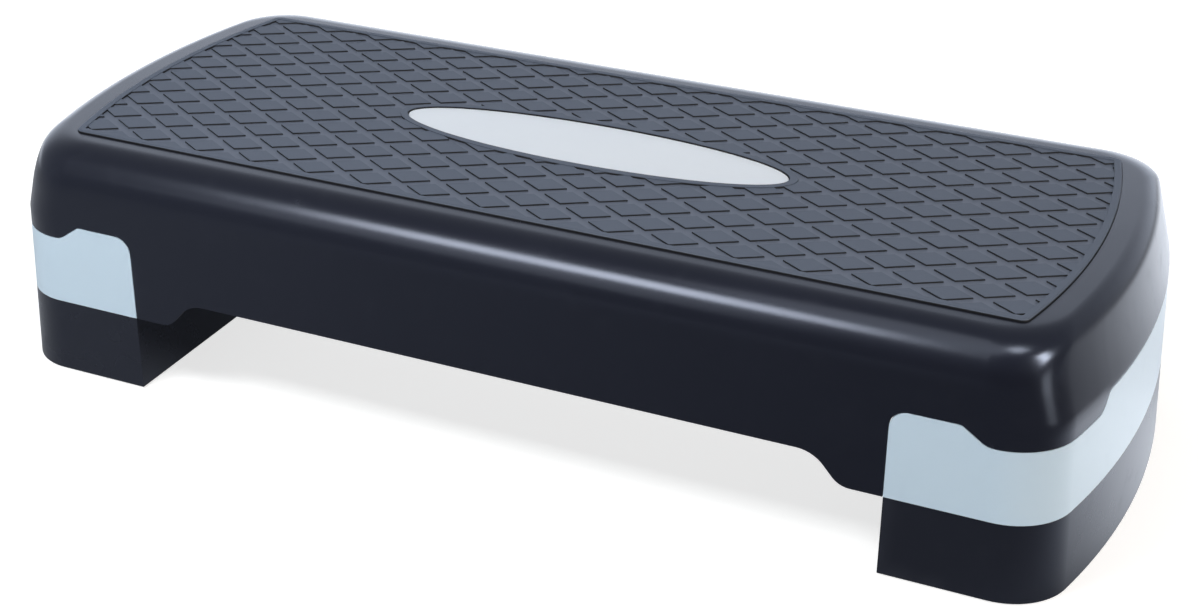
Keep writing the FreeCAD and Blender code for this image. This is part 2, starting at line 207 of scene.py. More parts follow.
@dataclass(frozen=True, kw_only=True)
class MouldedPlastic(Finish):
    """Injection-moulded plastic with flow marks, faint handling scuffs and rubbed edges, whose tint on dark
    plastic is partly a painted highlight.

    Attributes:
        ior: index of refraction.
        specular: strength of the surface reflection.
        sheen_colour: tint that the pigment gives a head-on reflection.
        wear_and_highlight_colour: colour of scuffs and rubbed edges; on dark plastic the lighter edges are
            also a painted highlight.
        scuff_mm: width of the scuffs.
        scuff_share: how far a scuff goes to the rubbed colour, and how much it dulls the skin.
        scuff_levels: levels of the noise at which scuffs start and are full.
        edge_wear_and_highlight_share: how far a convex edge goes to that colour, as rubbing and, on dark
            plastic, as a painted highlight.
        edge_levels: levels of Pointiness at which the edge tint of rubbing and painted highlight starts and
            is full.
        wave_mm: width of the sink marks left as the plastic cooled.
        wave_depth_mm: depth of the sink marks.
    """

    ior: float
    specular: float = 0.5
    sheen_colour: str = WHITE
    wear_and_highlight_colour: str
    scuff_mm: float = 14.0
    scuff_share: float = 0.05
    scuff_levels: Plan = (0.58, 0.8)
    edge_wear_and_highlight_share: float = 0.35
    edge_levels: Plan = (0.53, 0.62)
    wave_mm: float = 45.0
    wave_depth_mm: float = 0.12

    def shader(self, tree: Tree) -> bpy.types.Node:
        """Satin skin: drifting colour, scuffs that dull it, convex edges tinted as rubbing and painted
        highlight, sink marks and the mould's grain.

        Args:
            tree: the node tree that takes it.

        Returns:
            Its shader node.
        """
        place = add_node(tree, "ShaderNodeTexCoord").outputs["Object"]
        drift = self.drift(tree, place)
        scuff_noise = {"Vector": place, "Scale": per_metre(self.scuff_mm), "Detail": 4.0}
        scuff_field = add_node(tree, "ShaderNodeTexNoise", scuff_noise).outputs["Fac"]
        scuff_range = (scuff_field, *self.scuff_levels, 0.0, self.scuff_share)
        scuff = add_node(tree, "ShaderNodeMapRange", scuff_range).outputs["Result"]

        # Convex edges take the wear colour: rubbing, and on dark plastic a painted highlight too.
        turn = add_node(tree, "ShaderNodeNewGeometry").outputs["Pointiness"]
        edge_range = (turn, *self.edge_levels, 0.0, self.edge_wear_and_highlight_share)
        edge = add_node(tree, "ShaderNodeMapRange", edge_range).outputs["Result"]
        edge_wear_and_highlight = add_node(tree, "ShaderNodeMath", (edge, drift), operation="MULTIPLY").outputs[0]
        wear_and_highlight = add_node(tree, "ShaderNodeMath", (edge_wear_and_highlight, scuff), operation="MAXIMUM").outputs[0]
        wear_and_highlight_mix = {MIX_FACTOR: wear_and_highlight, MIX_A: self.tone(tree, drift), MIX_B: linear(self.wear_and_highlight_colour)}
        skin = add_node(tree, "ShaderNodeMix", wear_and_highlight_mix, data_type="RGBA").outputs[MIX_RESULT]
        dulled = (self.dullness(tree, drift), scuff)

        wave_noise = {"Vector": place, "Scale": per_metre(self.wave_mm), "Detail": 1.0}
        wave_bump = {
            "Height": add_node(tree, "ShaderNodeTexNoise", wave_noise).outputs["Fac"],
            "Distance": self.wave_depth_mm * MM,
            "Normal": self.grain(tree, place),
        }
        surface = {
            "Base Color": skin,
            "Roughness": add_node(tree, "ShaderNodeMath", dulled, operation="ADD").outputs[0],
            "IOR": self.ior,
            "Specular IOR Level": self.specular,
            "Specular Tint": linear(self.sheen_colour),
            "Normal": add_node(tree, "ShaderNodeBump", wave_bump).outputs["Normal"],
        }
        return add_node(tree, "ShaderNodeBsdfPrincipled", surface)


@dataclass(frozen=True, kw_only=True)
class MouldedRubber(Finish):
    """Compression-moulded rubber, dull, with bloom, with dust in its low places and with painted shade on
    its steep walls.

    Attributes:
        ior: index of refraction.
        low_colour: colour of the low places, where dust settles.
        shaded_wall_colour: colour of steep walls, as painted shade.
        low_z: height of the low places.
        high_z: height at which the dust ends.
        steep_levels: upward parts of the normal at which a face is all wall and no wall.
        bloom_share: how far bloom goes to the drift's colour.
    """

    roughness_swing: float = 0.06
    ior: float
    low_colour: str
    shaded_wall_colour: str
    low_z: float
    high_z: float
    steep_levels: Plan = (0.15, 0.45)
    bloom_share: float = 0.6

    def shader(self, tree: Tree) -> bpy.types.Node:
        """Dull skin whose colour follows its height, with bloom in soft patches, steep walls darkened as
        painted shade and a stippled grain.

        Args:
            tree: the node tree that takes it.

        Returns:
            Its shader node.
        """
        place = add_node(tree, "ShaderNodeTexCoord").outputs["Object"]
        drift = self.drift(tree, place)
        height = add_node(tree, "ShaderNodeSeparateXYZ", {"Vector": place}).outputs["Z"]
        rise_range = (height, *metres((self.low_z, self.high_z)))
        rise = add_node(tree, "ShaderNodeMapRange", rise_range).outputs["Result"]
        bloom_range = {"Value": drift, "To Max": self.bloom_share}
        bloom = add_node(tree, "ShaderNodeMapRange", bloom_range).outputs["Result"]
        dust_mix = {MIX_FACTOR: rise, MIX_A: linear(self.low_colour), MIX_B: self.tone(tree, bloom)}
        lit = add_node(tree, "ShaderNodeMix", dust_mix, data_type="RGBA").outputs[MIX_RESULT]

        # Steep walls take the darker colour as painted shade.
        facing = add_node(tree, "ShaderNodeNewGeometry").outputs["Normal"]
        upward = add_node(tree, "ShaderNodeSeparateXYZ", {"Vector": facing}).outputs["Z"]
        flat_range = (upward, *self.steep_levels)
        flat = add_node(tree, "ShaderNodeMapRange", flat_range).outputs["Result"]
        shaded_wall_mix = {MIX_FACTOR: flat, MIX_A: linear(self.shaded_wall_colour), MIX_B: lit}
        surface = {
            "Base Color": add_node(tree, "ShaderNodeMix", shaded_wall_mix, data_type="RGBA").outputs[MIX_RESULT],
            "Roughness": self.dullness(tree, drift),
            "IOR": self.ior,
            "Normal": self.grain(tree, place),
        }
        return add_node(tree, "ShaderNodeBsdfPrincipled", surface)


@dataclass(frozen=True, kw_only=True)
class PlatedSteel(Finish):
    """Zinc-plated steel, bright, with a cloudy passivated film."""

    roughness_swing: float = 0.08

    def shader(self, tree: Tree) -> bpy.types.Node:
        """Metal whose colour and roughness drift with the film.

        Args:
            tree: the node tree that takes it.

        Returns:
            Its shader node.
        """
        place = add_node(tree, "ShaderNodeTexCoord").outputs["Object"]
        drift = self.drift(tree, place)
        surface = {
            "Base Color": self.tone(tree, drift),
            "Metallic": 1.0,
            "Roughness": self.dullness(tree, drift),
            "Normal": self.grain(tree, place),
        }
        return add_node(tree, "ShaderNodeBsdfPrincipled", surface)


# Polypropylene from a spark-textured mould: near black, a soft satin sheen and broad highlights.
# Its real grain of about 0.3 mm is too fine to show, so it is drawn at 1 mm.
DECK_PLASTIC = MouldedPlastic(
    name="black_polypropylene_moulded",
    slot="deck_plastic",
    colour="#10111a",
    drift_colour="#13141e",
    roughness=0.23,
    ior=1.49,
    drift_mm=90.0,
    grain_mm=1.0,
    grain_depth_mm=0.012,
    # The lighter edges from this colour are rubbing and a painted highlight.
    wear_and_highlight_colour="#3b3e46",
    sheen_colour="#dbe7ff",
)

# The same polypropylene in a plainer tool, so it is a little duller.
RISER_PLASTIC = replace(
    DECK_PLASTIC,
    name="black_polypropylene_moulded_plain",
    slot="riser_plastic",
    colour="#14151d",
    drift_colour="#171821",
    roughness=0.28,
)

# ABS from a polished mould: pale blue-grey, even and half glossy, with a faint orange peel.
COLLAR_PLASTIC = MouldedPlastic(
    name="blue_grey_abs_moulded",
    slot="collar_plastic",
    colour="#bbd0e1",
    drift_colour="#c2d7e8",
    roughness=0.3,
    ior=1.54,
    drift_mm=70.0,
    grain_mm=1.6,
    grain_depth_mm=0.008,
    wear_and_highlight_colour="#a4b3be",
    edge_wear_and_highlight_share=0.1,
)

# ABS plate with a matt lacquer: silver white, flat and even.
PLATE_PLASTIC = MouldedPlastic(
    name="silver_white_abs_lacquered",
    slot="plate_plastic",
    colour="#d3dde9",
    drift_colour="#d9e2ed",
    roughness=0.4,
    ior=1.5,
    drift_mm=60.0,
    grain_mm=0.8,
    grain_depth_mm=0.006,
    wear_and_highlight_colour="#c4ccd4",
    wave_depth_mm=0.04,
    edge_wear_and_highlight_share=0.1,
)

# Steel screws with a zinc plate and a yellowish film: pale, bright metal with cloudy patches.
# The film's patches are about as wide as a screw's head is high.
ZINC_STEEL = PlatedSteel(
    name="steel_zinc_plated",
    slot="screw_steel",
    colour="#b9bcc0",
    drift_colour="#a9a7a0",
    roughness=0.32,
    drift_mm=3.0,
    grain_mm=0.5,
    grain_depth_mm=0.01,
)


# Meshes

@dataclass
class Shell:
    """Closed surfaces: points in millimetres, and faces that list their corners."""

    points: list[Point] = field(default_factory=list)
    faces: list[tuple[int, ...]] = field(default_factory=list)

    def add(self, other: "Shell") -> None:
        """Adds surfaces that don't touch these."""
        start = len(self.points)
        self.points += other.points
        self.faces += [tuple(i + start for i in face) for face in other.faces]

    def mesh(self, name: str) -> bpy.types.Mesh:
        """Writes the surfaces as a mesh in metres, with every normal facing out.

        Args:
            name: the mesh's name.

        Returns:
            The mesh.
        """
        made = bpy.data.meshes.new(name)
        made.from_pydata([metres(point) for point in self.points], [], self.faces)
        work = bmesh.new()
        work.from_mesh(made)
        bmesh.ops.recalc_face_normals(work, faces=work.faces)
        work.to_mesh(made)
        work.free()
        return made


def bridged(rows: Sequence[Sequence[Point]], closed: bool = False) -> Shell:
    """Closed surface through rings of points.

    Args:
        rows: the rings, each with as many points.
        closed: whether the last ring joins the first. If not, both are filled.

    Returns:
        The surface.
    """
    count = len(rows[0])
    shell = Shell([point for row in rows for point in row])
    for r in range(len(rows) if closed else len(rows) - 1):
        below, above = r * count, (r + 1) % len(rows) * count
        for i in range(count):
            j = (i + 1) % count
            shell.faces.append((below + i, below + j, above + j, above + i))
    if not closed:
        last = len(shell.points) - count
        shell.faces += [tuple(reversed(range(count))), tuple(range(last, last + count))]
    return shell


def lathe(
    places: Sequence[Plan], profile: Sequence[Plan], steps: int = TURN_STEPS,
    shift: Callable[[float, float], float] | None = None,
) -> Shell:
    """Makes the same turned surface about an upright axis at each place.

    Args:
        places: plan place of each axis.
        profile: radius and height of each ring, from the axis and back to it.
        steps: points in a ring.
        shift: extra radius at an angle and a height, if the rings aren't round.

    Returns:
        The closed surfaces.
    """
    turned = Shell()
    rings: list[list[int]] = []
    for radius, z in profile:
        count = steps if radius else 1
        start = len(turned.points)
        for i in range(count):
            angle = 2 * math.pi * i / steps
            reach = radius + (shift(angle, z) if shift and radius else 0.0)
            turned.points.append((reach * math.cos(angle), reach * math.sin(angle), z))
        rings.append([start + i % count for i in range(steps)])
    for low, high in zip(rings, rings[1:]):
        for i in range(steps):
            j = (i + 1) % steps
            turned.faces.append(tuple(dict.fromkeys((low[i], low[j], high[j], high[i]))))
    whole = Shell()
    for x, y in places:
        whole.add(Shell([(x + a, y + b, z) for a, b, z in turned.points], turned.faces))
    return whole


def rods(places: Sequence[Plan], radius: float, low: float, high: float, steps: int = TURN_STEPS) -> Shell:
    """Upright cylinders, as cutting or joining shapes."""
    return lathe(places, [(0, low), (radius, low), (radius, high), (0, high)], steps)


def slab(outline: Sequence[Point], along: Point) -> Shell:
    """Flat outline run along a vector into a closed slab."""
    return bridged([outline, [tuple(Vector(point) + Vector(along)) for point in outline]])


class Combine(Enum):
    """Ways to combine a moulding with another closed surface."""

    JOIN = "UNION"
    CUT = "DIFFERENCE"
    KEEP = "INTERSECT"


class Moulding:
    """A piece that is being made up from closed surfaces."""

    def __init__(self, name: str, start: Shell | bpy.types.Mesh) -> None:
        """Starts the piece from its first surface.

        Args:
            name: the piece's name.
            start: surface or finished mesh.
        """
        mesh = start.mesh(name) if isinstance(start, Shell) else start
        self.piece = bpy.data.objects.new(name, mesh)
        bpy.context.scene.collection.objects.link(self.piece)

    def settle(self) -> None:
        """Turns the piece's modifiers into its mesh."""
        made = bpy.data.meshes.new_from_object(
            self.piece.evaluated_get(bpy.context.evaluated_depsgraph_get())
        )
        old = self.piece.data
        self.piece.modifiers.clear()
        self.piece.data = made
        bpy.data.meshes.remove(old)
        made.name = self.piece.name

    def soften(self, width: float) -> "Moulding":
        """Rounds the sharp edges.

        Args:
            width: width of the rounding.

        Returns:
            This moulding.
        """
        step = self.piece.modifiers.new("soften", "BEVEL")
        step.width = width * MM
        step.segments = EDGE_STEPS
        step.limit_method = "ANGLE"
        step.angle_limit = SHARP_ANGLE
        self.settle()
        return self

    def combine(self, how: Combine, *shells: Shell) -> "Moulding":
        """Joins, cuts or clips the piece with closed surfaces, one shell after the other.

        Args:
            how: what is done with them.
            shells: the other surfaces. Those in one shell don't touch each other.

        Returns:
            This moulding.
        """
        for shell in shells:
            tool = Moulding("tool", shell)
            step = self.piece.modifiers.new("combine", "BOOLEAN")
            step.solver = "MANIFOLD"
            step.operation = how.value
            step.object = tool.piece
            self.settle()
            tool.discard()
        return self

    def discard(self) -> None:
        """Removes the piece and its mesh."""
        mesh = self.piece.data
        bpy.data.objects.remove(self.piece)
        bpy.data.meshes.remove(mesh)

    def mirrored(self, name: str) -> "Moulding":
        """Makes the same piece for the other end.

        Args:
            name: the other piece's name.

        Returns:
            The other moulding.
        """
        mesh = self.piece.data.copy()
        mesh.name = name
        mesh.transform(Matrix.Scale(-1, 4, Vector((1, 0, 0))))
        mesh.flip_normals()
        return Moulding(name, mesh)

    def dress(self, finish: Finish, body: str, *nodes: str) -> None:
        """Shades the piece, gives it its finish and sets it in the frame.

        Args:
            finish: its material.
            body: the body that it moves with.
            nodes: construction nodes that it stands for.
        """
        mesh = self.piece.data
        mesh.materials.clear()
        mesh.materials.append(finish.material())
        mesh.shade_smooth()
        mesh.set_sharp_from_angle(angle=SHARP_ANGLE)
        step = self.piece.modifiers.new("even_normals", "WEIGHTED_NORMAL")
        step.keep_sharp = True
        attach(self.piece, body)
        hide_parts(*nodes)
        log.info("%s: %d faces, %s, on %s", self.piece.name, len(mesh.polygons), finish.name, body)


def box_mm(node: str) -> tuple[Vector, Vector]:
    """Lowest and highest corner of a construction node, in millimetres."""
    low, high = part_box(node)
    return low / MM, high / MM


def spread(start: float, end: float, steps: int) -> list[float]:
    """Evenly spaced places from start to end, both included."""
    return [start + (end - start) * i / steps for i in range(steps + 1)]


# Form of the step

class Run(Enum):
    """Stretches of the step's plan outline."""

    SIDE = "side"
    CORNER = "corner"
    END = "end"


@dataclass(frozen=True)
class Station:
    """A place on the plan outline that every height of the form has.

    Attributes:
        run: the stretch of the outline.
        place: X on a side at the foot of the ends' slope, share of the turn in a corner, share of the
            bow on an end.
        sx: which end, or 0 on a side.
        sy: which side, or 0 on an end.
    """

    run: Run
    place: float
    sx: int
    sy: int

    def across(self) -> "Station":
        """The same place on the other long side."""
        if self.run is Run.END:
            return replace(self, place=-self.place)
        return replace(self, sy=-self.sy)

    def mirrored(self) -> "Station":
        """The same place at the other end."""
        if self.run is Run.SIDE:
            return replace(self, place=-self.place)
        return replace(self, sx=-self.sx)


def right_chain(
    side_places: Sequence[float], corner_steps: int, end_places: Sequence[float]
) -> list[Station]:
    """Stations round the right end, from its front side to its back side.

    Args:
        side_places: X of the stations on a side, rising.
        corner_steps: steps round a corner.
        end_places: shares of the bow, from near 1 down to above 0.

    Returns:
        The stations in order.
    """
    front = [Station(Run.SIDE, x, 0, -1) for x in side_places]
    front += [Station(Run.CORNER, i / corner_steps, 1, -1) for i in range(corner_steps + 1)]
    front += [Station(Run.END, -place, 1, 0) for place in end_places]
    back = [station.across() for station in reversed(front)]
    return front + [Station(Run.END, 0.0, 1, 0)] + back


def front_half(chain: Sequence[Station]) -> list[Station]:
    """The part of a chain from its front side to the tip of the bow."""
    return list(chain[: len(chain) // 2 + 1])


def whole_loop(chain: Sequence[Station]) -> list[Station]:
    """Stations round the whole step, from a chain that starts at its middle."""
    return list(chain) + [station.mirrored() for station in reversed(chain)][1:-1]


def whole_front(chain: Sequence[Station]) -> list[Station]:
    """Stations along the front, from the left bow's tip to the right bow's tip."""
    right = front_half(chain)
    return [station.mirrored() for station in reversed(right)] + right[1:]


@dataclass(frozen=True)
class Level:
    """Plan outline at one height, drawn in from the outline at the floor.

    Attributes:
        z: the height.
        inset_end: how far the ends are drawn in.
        inset_side: how far the sides are drawn in.
        corner: radius of the corners.
    """

    z: float
    inset_end: float
    inset_side: float
    corner: float


def rounded_over(
    z: float, foot: float, inset: float, lean: float, top: float, radius: float
) -> float:
    """Inset at a height of a wall that leans in above its foot and is rounded over into a flat top.

    Args:
        z: the height.
        foot: height of the wall's foot.
        inset: how far the foot is drawn in.
        lean: degrees that the wall leans in.
        top: height of the flat top.
        radius: of the rounding.

    Returns:
        How far the wall or its rounding is drawn in.
    """
    slope = math.tan(math.radians(lean))
    turn_z = top - radius
    if z < turn_z + radius * math.sin(math.radians(lean)):
        return inset + (z - foot) * slope
    crest = inset + (turn_z - foot) * slope + radius / math.cos(math.radians(lean))
    return crest - math.sqrt(max(0.0, radius ** 2 - (z - turn_z) ** 2))


@dataclass(frozen=True)
class StepForm:
    """Outer form that the deck, the collars and the risers share.

    Attributes:
        half_length: at the floor.
        half_width: at the floor.
        lobe_low: lower edge of the deck's lobes.
        slope_foot: height at which the ends start to slope.
        deck_top: flat top of the deck.
        inner_face: X of the flat inner face of the right end block.
        bow_radius: of the ends, seen from above.
        corner: radius of the corners, seen from above.
        side_round: rounding between the flat top and the long walls.
        end_round: rounding between the flat top and the ends.
        end_slope: degrees that the ends lean in above the foot of their slope.
        end_draft: degrees that the end walls lean in below it.
        side_draft: degrees that the long walls lean in.
        wall: thickness of skirt, band and riser.
        deck_plate: thickness of the plate under the tread.
    """

    half_length: float
    half_width: float
    lobe_low: float
    slope_foot: float
    deck_top: float
    inner_face: float
    bow_radius: float = 484.0
    corner: float = 36.0
    side_round: float = 26.5
    end_round: float = 12.0
    end_slope: float = 15.0
    end_draft: float = 3.0
    side_draft: float = 0.5
    wall: float = 3.0
    deck_plate: float = 4.0

    @classmethod
    def from_frame(cls, slope_rise: float = 2.0) -> "StepForm":
        """Reads the form's main sizes from the construction nodes.

        Args:
            slope_rise: collars' tabs to the foot of the ends' slope.

        Returns:
            The form.
        """
        riser_low, riser_high = box_mm("right_riser")
        deck_low, deck_high = box_mm("deck_shell")
        return cls(
            half_length=riser_high.x + riser_low.z * math.tan(math.radians(cls.end_draft)),
            half_width=riser_high.y + riser_low.z * math.tan(math.radians(cls.side_draft)),
            lobe_low=deck_low.z,
            slope_foot=box_mm("right_collar")[1].z + slope_rise,
            deck_top=deck_high.z,
            inner_face=riser_low.x,
        )

    @property
    def round_start(self) -> float:
        """Height at which the rounding of the long walls starts."""
        return self.deck_top - self.side_round

    @property
    def straight(self) -> float:
        """X at which the straight side turns into the corner, at the foot of the ends' slope."""
        return self.corner_centre(self.level(self.slope_foot))[0]

    def level(self, z: float, wall: float = 0.0, plate: float = 0.0) -> Level:
        """Outline at a height, on the form drawn in by a wall and lowered by a plate.

        Args:
            z: the height.
            wall: how far the walls are drawn in.
            plate: how far the top is lowered.

        Returns:
            The outline.
        """
        top = self.deck_top - plate
        side = rounded_over(z, 0.0, 0.0, self.side_draft, top, self.side_round - plate)
        foot = min(z, self.slope_foot)
        end = foot * math.tan(math.radians(self.end_draft))
        if z > foot:
            end = rounded_over(z, foot, end, self.end_slope, top, self.end_round - plate)
        return Level(z, wall + end, wall + side, self.corner - wall)

    def round_level(self, share: float, wall: float = 0.0, plate: float = 0.0) -> Level:
        """Outline of the rounded top edge at a share of the long walls' quarter turn."""
        rise = (self.side_round - plate) * math.sin(share * QUARTER)
        return self.level(self.round_start + rise, wall, plate)

    def bow(self, level: Level) -> Plan:
        """Centre X and radius of a level's bowed right end."""
        return self.half_length - self.bow_radius, self.bow_radius - level.inset_end

    def corner_centre(self, level: Level) -> Plan:
        """Centre of a level's right back corner."""
        bow_x, bow = self.bow(level)
        y = self.half_width - level.inset_side - level.corner
        return bow_x + math.sqrt((bow - level.corner) ** 2 - y ** 2), y

    def bow_turn(self, level: Level) -> float:
        """Angle from the tip of a level's bowed end to where its corner starts."""
        centre_x, centre_y = self.corner_centre(level)
        return math.atan2(centre_y, centre_x - self.bow(level)[0])

    def at(self, station: Station, level: Level) -> Point:
        """Finds a station's point on a level.

        Args:
            station: the place on the outline.
            level: the outline.

        Returns:
            The point.
        """
        bow_x, bow = self.bow(level)
        centre_x, centre_y = self.corner_centre(level)
        turn = self.bow_turn(level)
        if station.run is Run.SIDE:
            past = abs(station.place) - self.inner_face
            x = station.place
            if past > 0:
                drawn = past * (centre_x - self.inner_face) / (self.straight - self.inner_face)
                x = math.copysign(self.inner_face + drawn, x)
            return x, station.sy * (self.half_width - level.inset_side), level.z
        if station.run is Run.CORNER:
            angle = QUARTER + (turn - QUARTER) * station.place
            x = centre_x + level.corner * math.cos(angle)
            return station.sx * x, station.sy * (centre_y + level.corner * math.sin(angle)), level.z
        angle = turn * station.place
        return station.sx * (bow_x + bow * math.cos(angle)), bow * math.sin(angle), level.z

    def reach_x(self, y: float, level: Level) -> float:
        """Half length of an outline at one Y on its bowed ends."""
        bow_x, bow = self.bow(level)
        return bow_x + math.sqrt(bow ** 2 - y ** 2)

    def reach_y(self, x: float, level: Level) -> float:
        """Finds the half width of an outline.

        Args:
            x: the place along the step.
            level: the outline.

        Returns:
            The half width there, or 0 past the outline's end.
        """
        bow_x, bow = self.bow(level)
        centre_x, centre_y = self.corner_centre(level)
        past = abs(x) - centre_x
        if past <= 0:
            return self.half_width - level.inset_side
        if abs(x) <= bow_x + bow * math.cos(self.bow_turn(level)):
            return centre_y + math.sqrt(level.corner ** 2 - past ** 2)
        return math.sqrt(max(0.0, bow ** 2 - (abs(x) - bow_x) ** 2))


class Sheet:
    """Quads between named points, thickened to a closed wall by a second point behind each one."""

    def __init__(self) -> None:
        """Starts an empty sheet."""
        self.keys: dict[Hashable, int] = {}
        self.front: list[Point] = []
        self.back: list[Point] = []
        self.faces: list[tuple[int, ...]] = []

    def row(
        self,
        name: Hashable,
        stations: Sequence[Station],
        front: Callable[[Station], Point],
        back: Callable[[Station], Point],
    ) -> list[int]:
        """Adds a row of points, one at each station.

        Args:
            name: the row's name. A station's point of that name is made once.
            stations: the stations in order.
            front: gives the point on the sheet.
            back: gives the point behind it.

        Returns:
            The points' numbers.
        """
        numbers = []
        for station in stations:
            key = (station, name)
            if key not in self.keys:
                self.keys[key] = len(self.front)
                self.front.append(front(station))
                self.back.append(back(station))
            numbers.append(self.keys[key])
        return numbers

    def strips(self, rows: Sequence[Sequence[int]], closed: bool = False) -> None:
        """Adds the quads between rows.

        Args:
            rows: numbers of each row's points, from the lowest row up.
            closed: whether the rows close on themselves.
        """
        count = len(rows[0])
        for low, high in zip(rows, rows[1:]):
            for i in range(count if closed else count - 1):
                j = (i + 1) % count
                self.faces.append((low[i], low[j], high[j], high[i]))

    def cap(self, half: Sequence[Station], name: Hashable, upward: bool) -> None:
        """Adds the flat strips from a row's front half to its back half.

        Args:
            half: stations of the front half.
            name: the row's name.
            upward: whether the cap faces up.
        """
        for near, far in zip(half, half[1:]):
            stations = (near, far, far.across(), near.across())
            corners = list(dict.fromkeys(self.keys[(station, name)] for station in stations))
            self.faces.append(tuple(corners if upward else reversed(corners)))

    def shell(self) -> Shell:
        """Closes the wall: the sheet, its back and the rim between their open edges.

        Returns:
            The closed wall.
        """
        count = len(self.front)
        faces = list(self.faces)
        faces += [tuple(i + count for i in reversed(face)) for face in self.faces]
        edges = {pair for face in self.faces for pair in zip(face, face[1:] + face[:1])}
        open_edges = [(a, b) for a, b in edges if (b, a) not in edges]
        faces += [(b, a, a + count, b + count) for a, b in sorted(open_edges)]
        return Shell(self.front + self.back, faces)


@dataclass(frozen=True)
class Sweep:
    """S-shaped sweep, level at both ends: two bends and the straight run between them.

    Attributes:
        run: its length.
        rise: its height, below zero where it falls.
        first: radius of the bend that it starts with.
        second: radius of the bend that it ends with.
    """

    run: float
    rise: float
    first: float
    second: float

    @property
    def turn(self) -> float:
        """Angle of the straight run."""
        bends, rise = self.first + self.second, abs(self.rise)
        straight = math.sqrt(self.run ** 2 + rise ** 2 - 2 * rise * bends)
        return math.atan2(rise - bends, self.run) + math.atan2(bends, straight)

    def height(self, place: float) -> float:
        """Finds the height of the sweep.

        Args:
            place: distance along the run, at or past either end too.

        Returns:
            The height there.
        """
        place = min(max(place, 0.0), self.run)
        left = self.run - place
        near, far = self.first * math.sin(self.turn), self.second * math.sin(self.turn)
        if place < near:
            height = self.first - math.sqrt(self.first ** 2 - place ** 2)
        elif left < far:
            height = abs(self.rise) - self.second + math.sqrt(self.second ** 2 - left ** 2)
        else:
            height = self.first * (1 - math.cos(self.turn)) + (place - near) * math.tan(self.turn)
        return math.copysign(height, self.rise)

    def places(self, steps: int) -> list[float]:
        """Places along the run that split each bend into equal turns."""
        turns = spread(0.0, self.turn, steps)
        start = [self.first * math.sin(a) for a in turns]
        return start + [self.run - self.second * math.sin(a) for a in reversed(turns)]


@dataclass(frozen=True)
class CollarEdge:
    """Upper edge of the right collar's band, with a tab on each side and one on the end.

    Attributes:
        form: the step's form.
        high: level top of the tabs.
        tab_rise: tabs above the low run.
        tab_corner: rounded inner corner of the side tabs.
        side_tab_length: level top of the side tabs, from the inner face.
        side_tab_slope: run of their sloping end.
        end_tab_width: level top of the end tab.
        end_tab_slope: run of each of its slopes.
        tab_bends: radii of a slope's upper and lower bend.
        short_of_turn: last station on a side to the turn of the corner.
        least_run: least space between the last two stations on a side.
        corner_steps: faces round the tabs' inner corner.
        bend_steps: faces round each bend of a slope.
        side_steps: faces along a side tab's level top.
        end_steps: faces from the corner to the end tab's slope, and along half of its level top.
    """

    form: StepForm
    high: float
    tab_rise: float = 9.6
    tab_corner: float = 10.0
    side_tab_length: float = 35.5
    side_tab_slope: float = 18.8
    end_tab_width: float = 154.0
    end_tab_slope: float = 16.0
    tab_bends: Plan = (4.5, 12.0)
    short_of_turn: float = 0.2
    least_run: float = 1.0
    corner_steps: int = 8
    bend_steps: int = 6
    side_steps: int = 3
    end_steps: tuple[int, int] = (4, 8)

    @classmethod
    def from_frame(cls, form: StepForm) -> "CollarEdge":
        """Reads the height of the tabs from the construction node."""
        return cls(form, box_mm("right_collar")[1].z)

    @property
    def side_sweep(self) -> Sweep:
        """Slope at the end of a side tab."""
        return Sweep(self.side_tab_slope, -self.tab_rise, *self.tab_bends)

    @property
    def end_sweep(self) -> Sweep:
        """Slope at each end of the end tab."""
        return Sweep(self.end_tab_slope, -self.tab_rise, *self.tab_bends)

    def corner_low(self) -> float:
        """Height at which the side tabs' rounded corner starts."""
        return self.high - self.tab_corner

    def height(self, station: Station, gap: float) -> float:
        """Height of the edge at a station, lifted by the gap of the seam.

        Args:
            station: the place on the outline.
            gap: width of the seam, or 0 for the band's own edge.

        Returns:
            The height.
        """
        x, y, _ = self.form.at(station, self.form.level(self.high))
        if station.run is Run.END:
            return self.high + gap + self.end_sweep.height(abs(y) - self.end_tab_width / 2)
        start = self.form.inner_face - gap
        turn = self.tab_corner + gap
        past = abs(x) - start - turn
        if past < 0:
            return self.high + gap - turn + math.sqrt(max(0.0, turn ** 2 - past ** 2))
        past = abs(x) - self.form.inner_face - self.side_tab_length
        return self.high + gap + self.side_sweep.height(past)

    def side_places(self, gap: float) -> list[float]:
        """Lays out the stations along a side tab, up to the end of the straight side.

        Args:
            gap: width of the seam, or 0 for the band's own edge.

        Returns:
            X of each station.
        """
        start = self.form.inner_face - gap
        turn = self.tab_corner + gap
        slope = self.form.inner_face + self.side_tab_length
        places = [start + turn * (1 - math.cos(a)) for a in spread(0.0, QUARTER, self.corner_steps)]
        places += spread(places[-1], slope, self.side_steps)[1:-1]
        places += [slope + p for p in self.side_sweep.places(self.bend_steps)]
        last = self.form.straight - self.short_of_turn
        return [x for x in places if x < last - self.least_run] + [last]

    def end_places(self) -> list[float]:
        """Lays out the stations along half of the end, from its corner to its middle.

        Returns:
            Share of the bow for each station.
        """
        level = self.form.level(self.high)
        bow, turn = self.form.bow(level)[1], self.form.bow_turn(level)
        tab = self.end_tab_width / 2
        outer_steps, inner_steps = self.end_steps
        slope = [tab + p for p in reversed(self.end_sweep.places(self.bend_steps))]
        outer = spread(bow * math.sin(turn), slope[0], outer_steps)[1:-1]
        inner = spread(tab, 0.0, inner_steps)[1:-1]
        return [math.asin(y / bow) / turn for y in outer + slope + inner]


# Pieces of the step

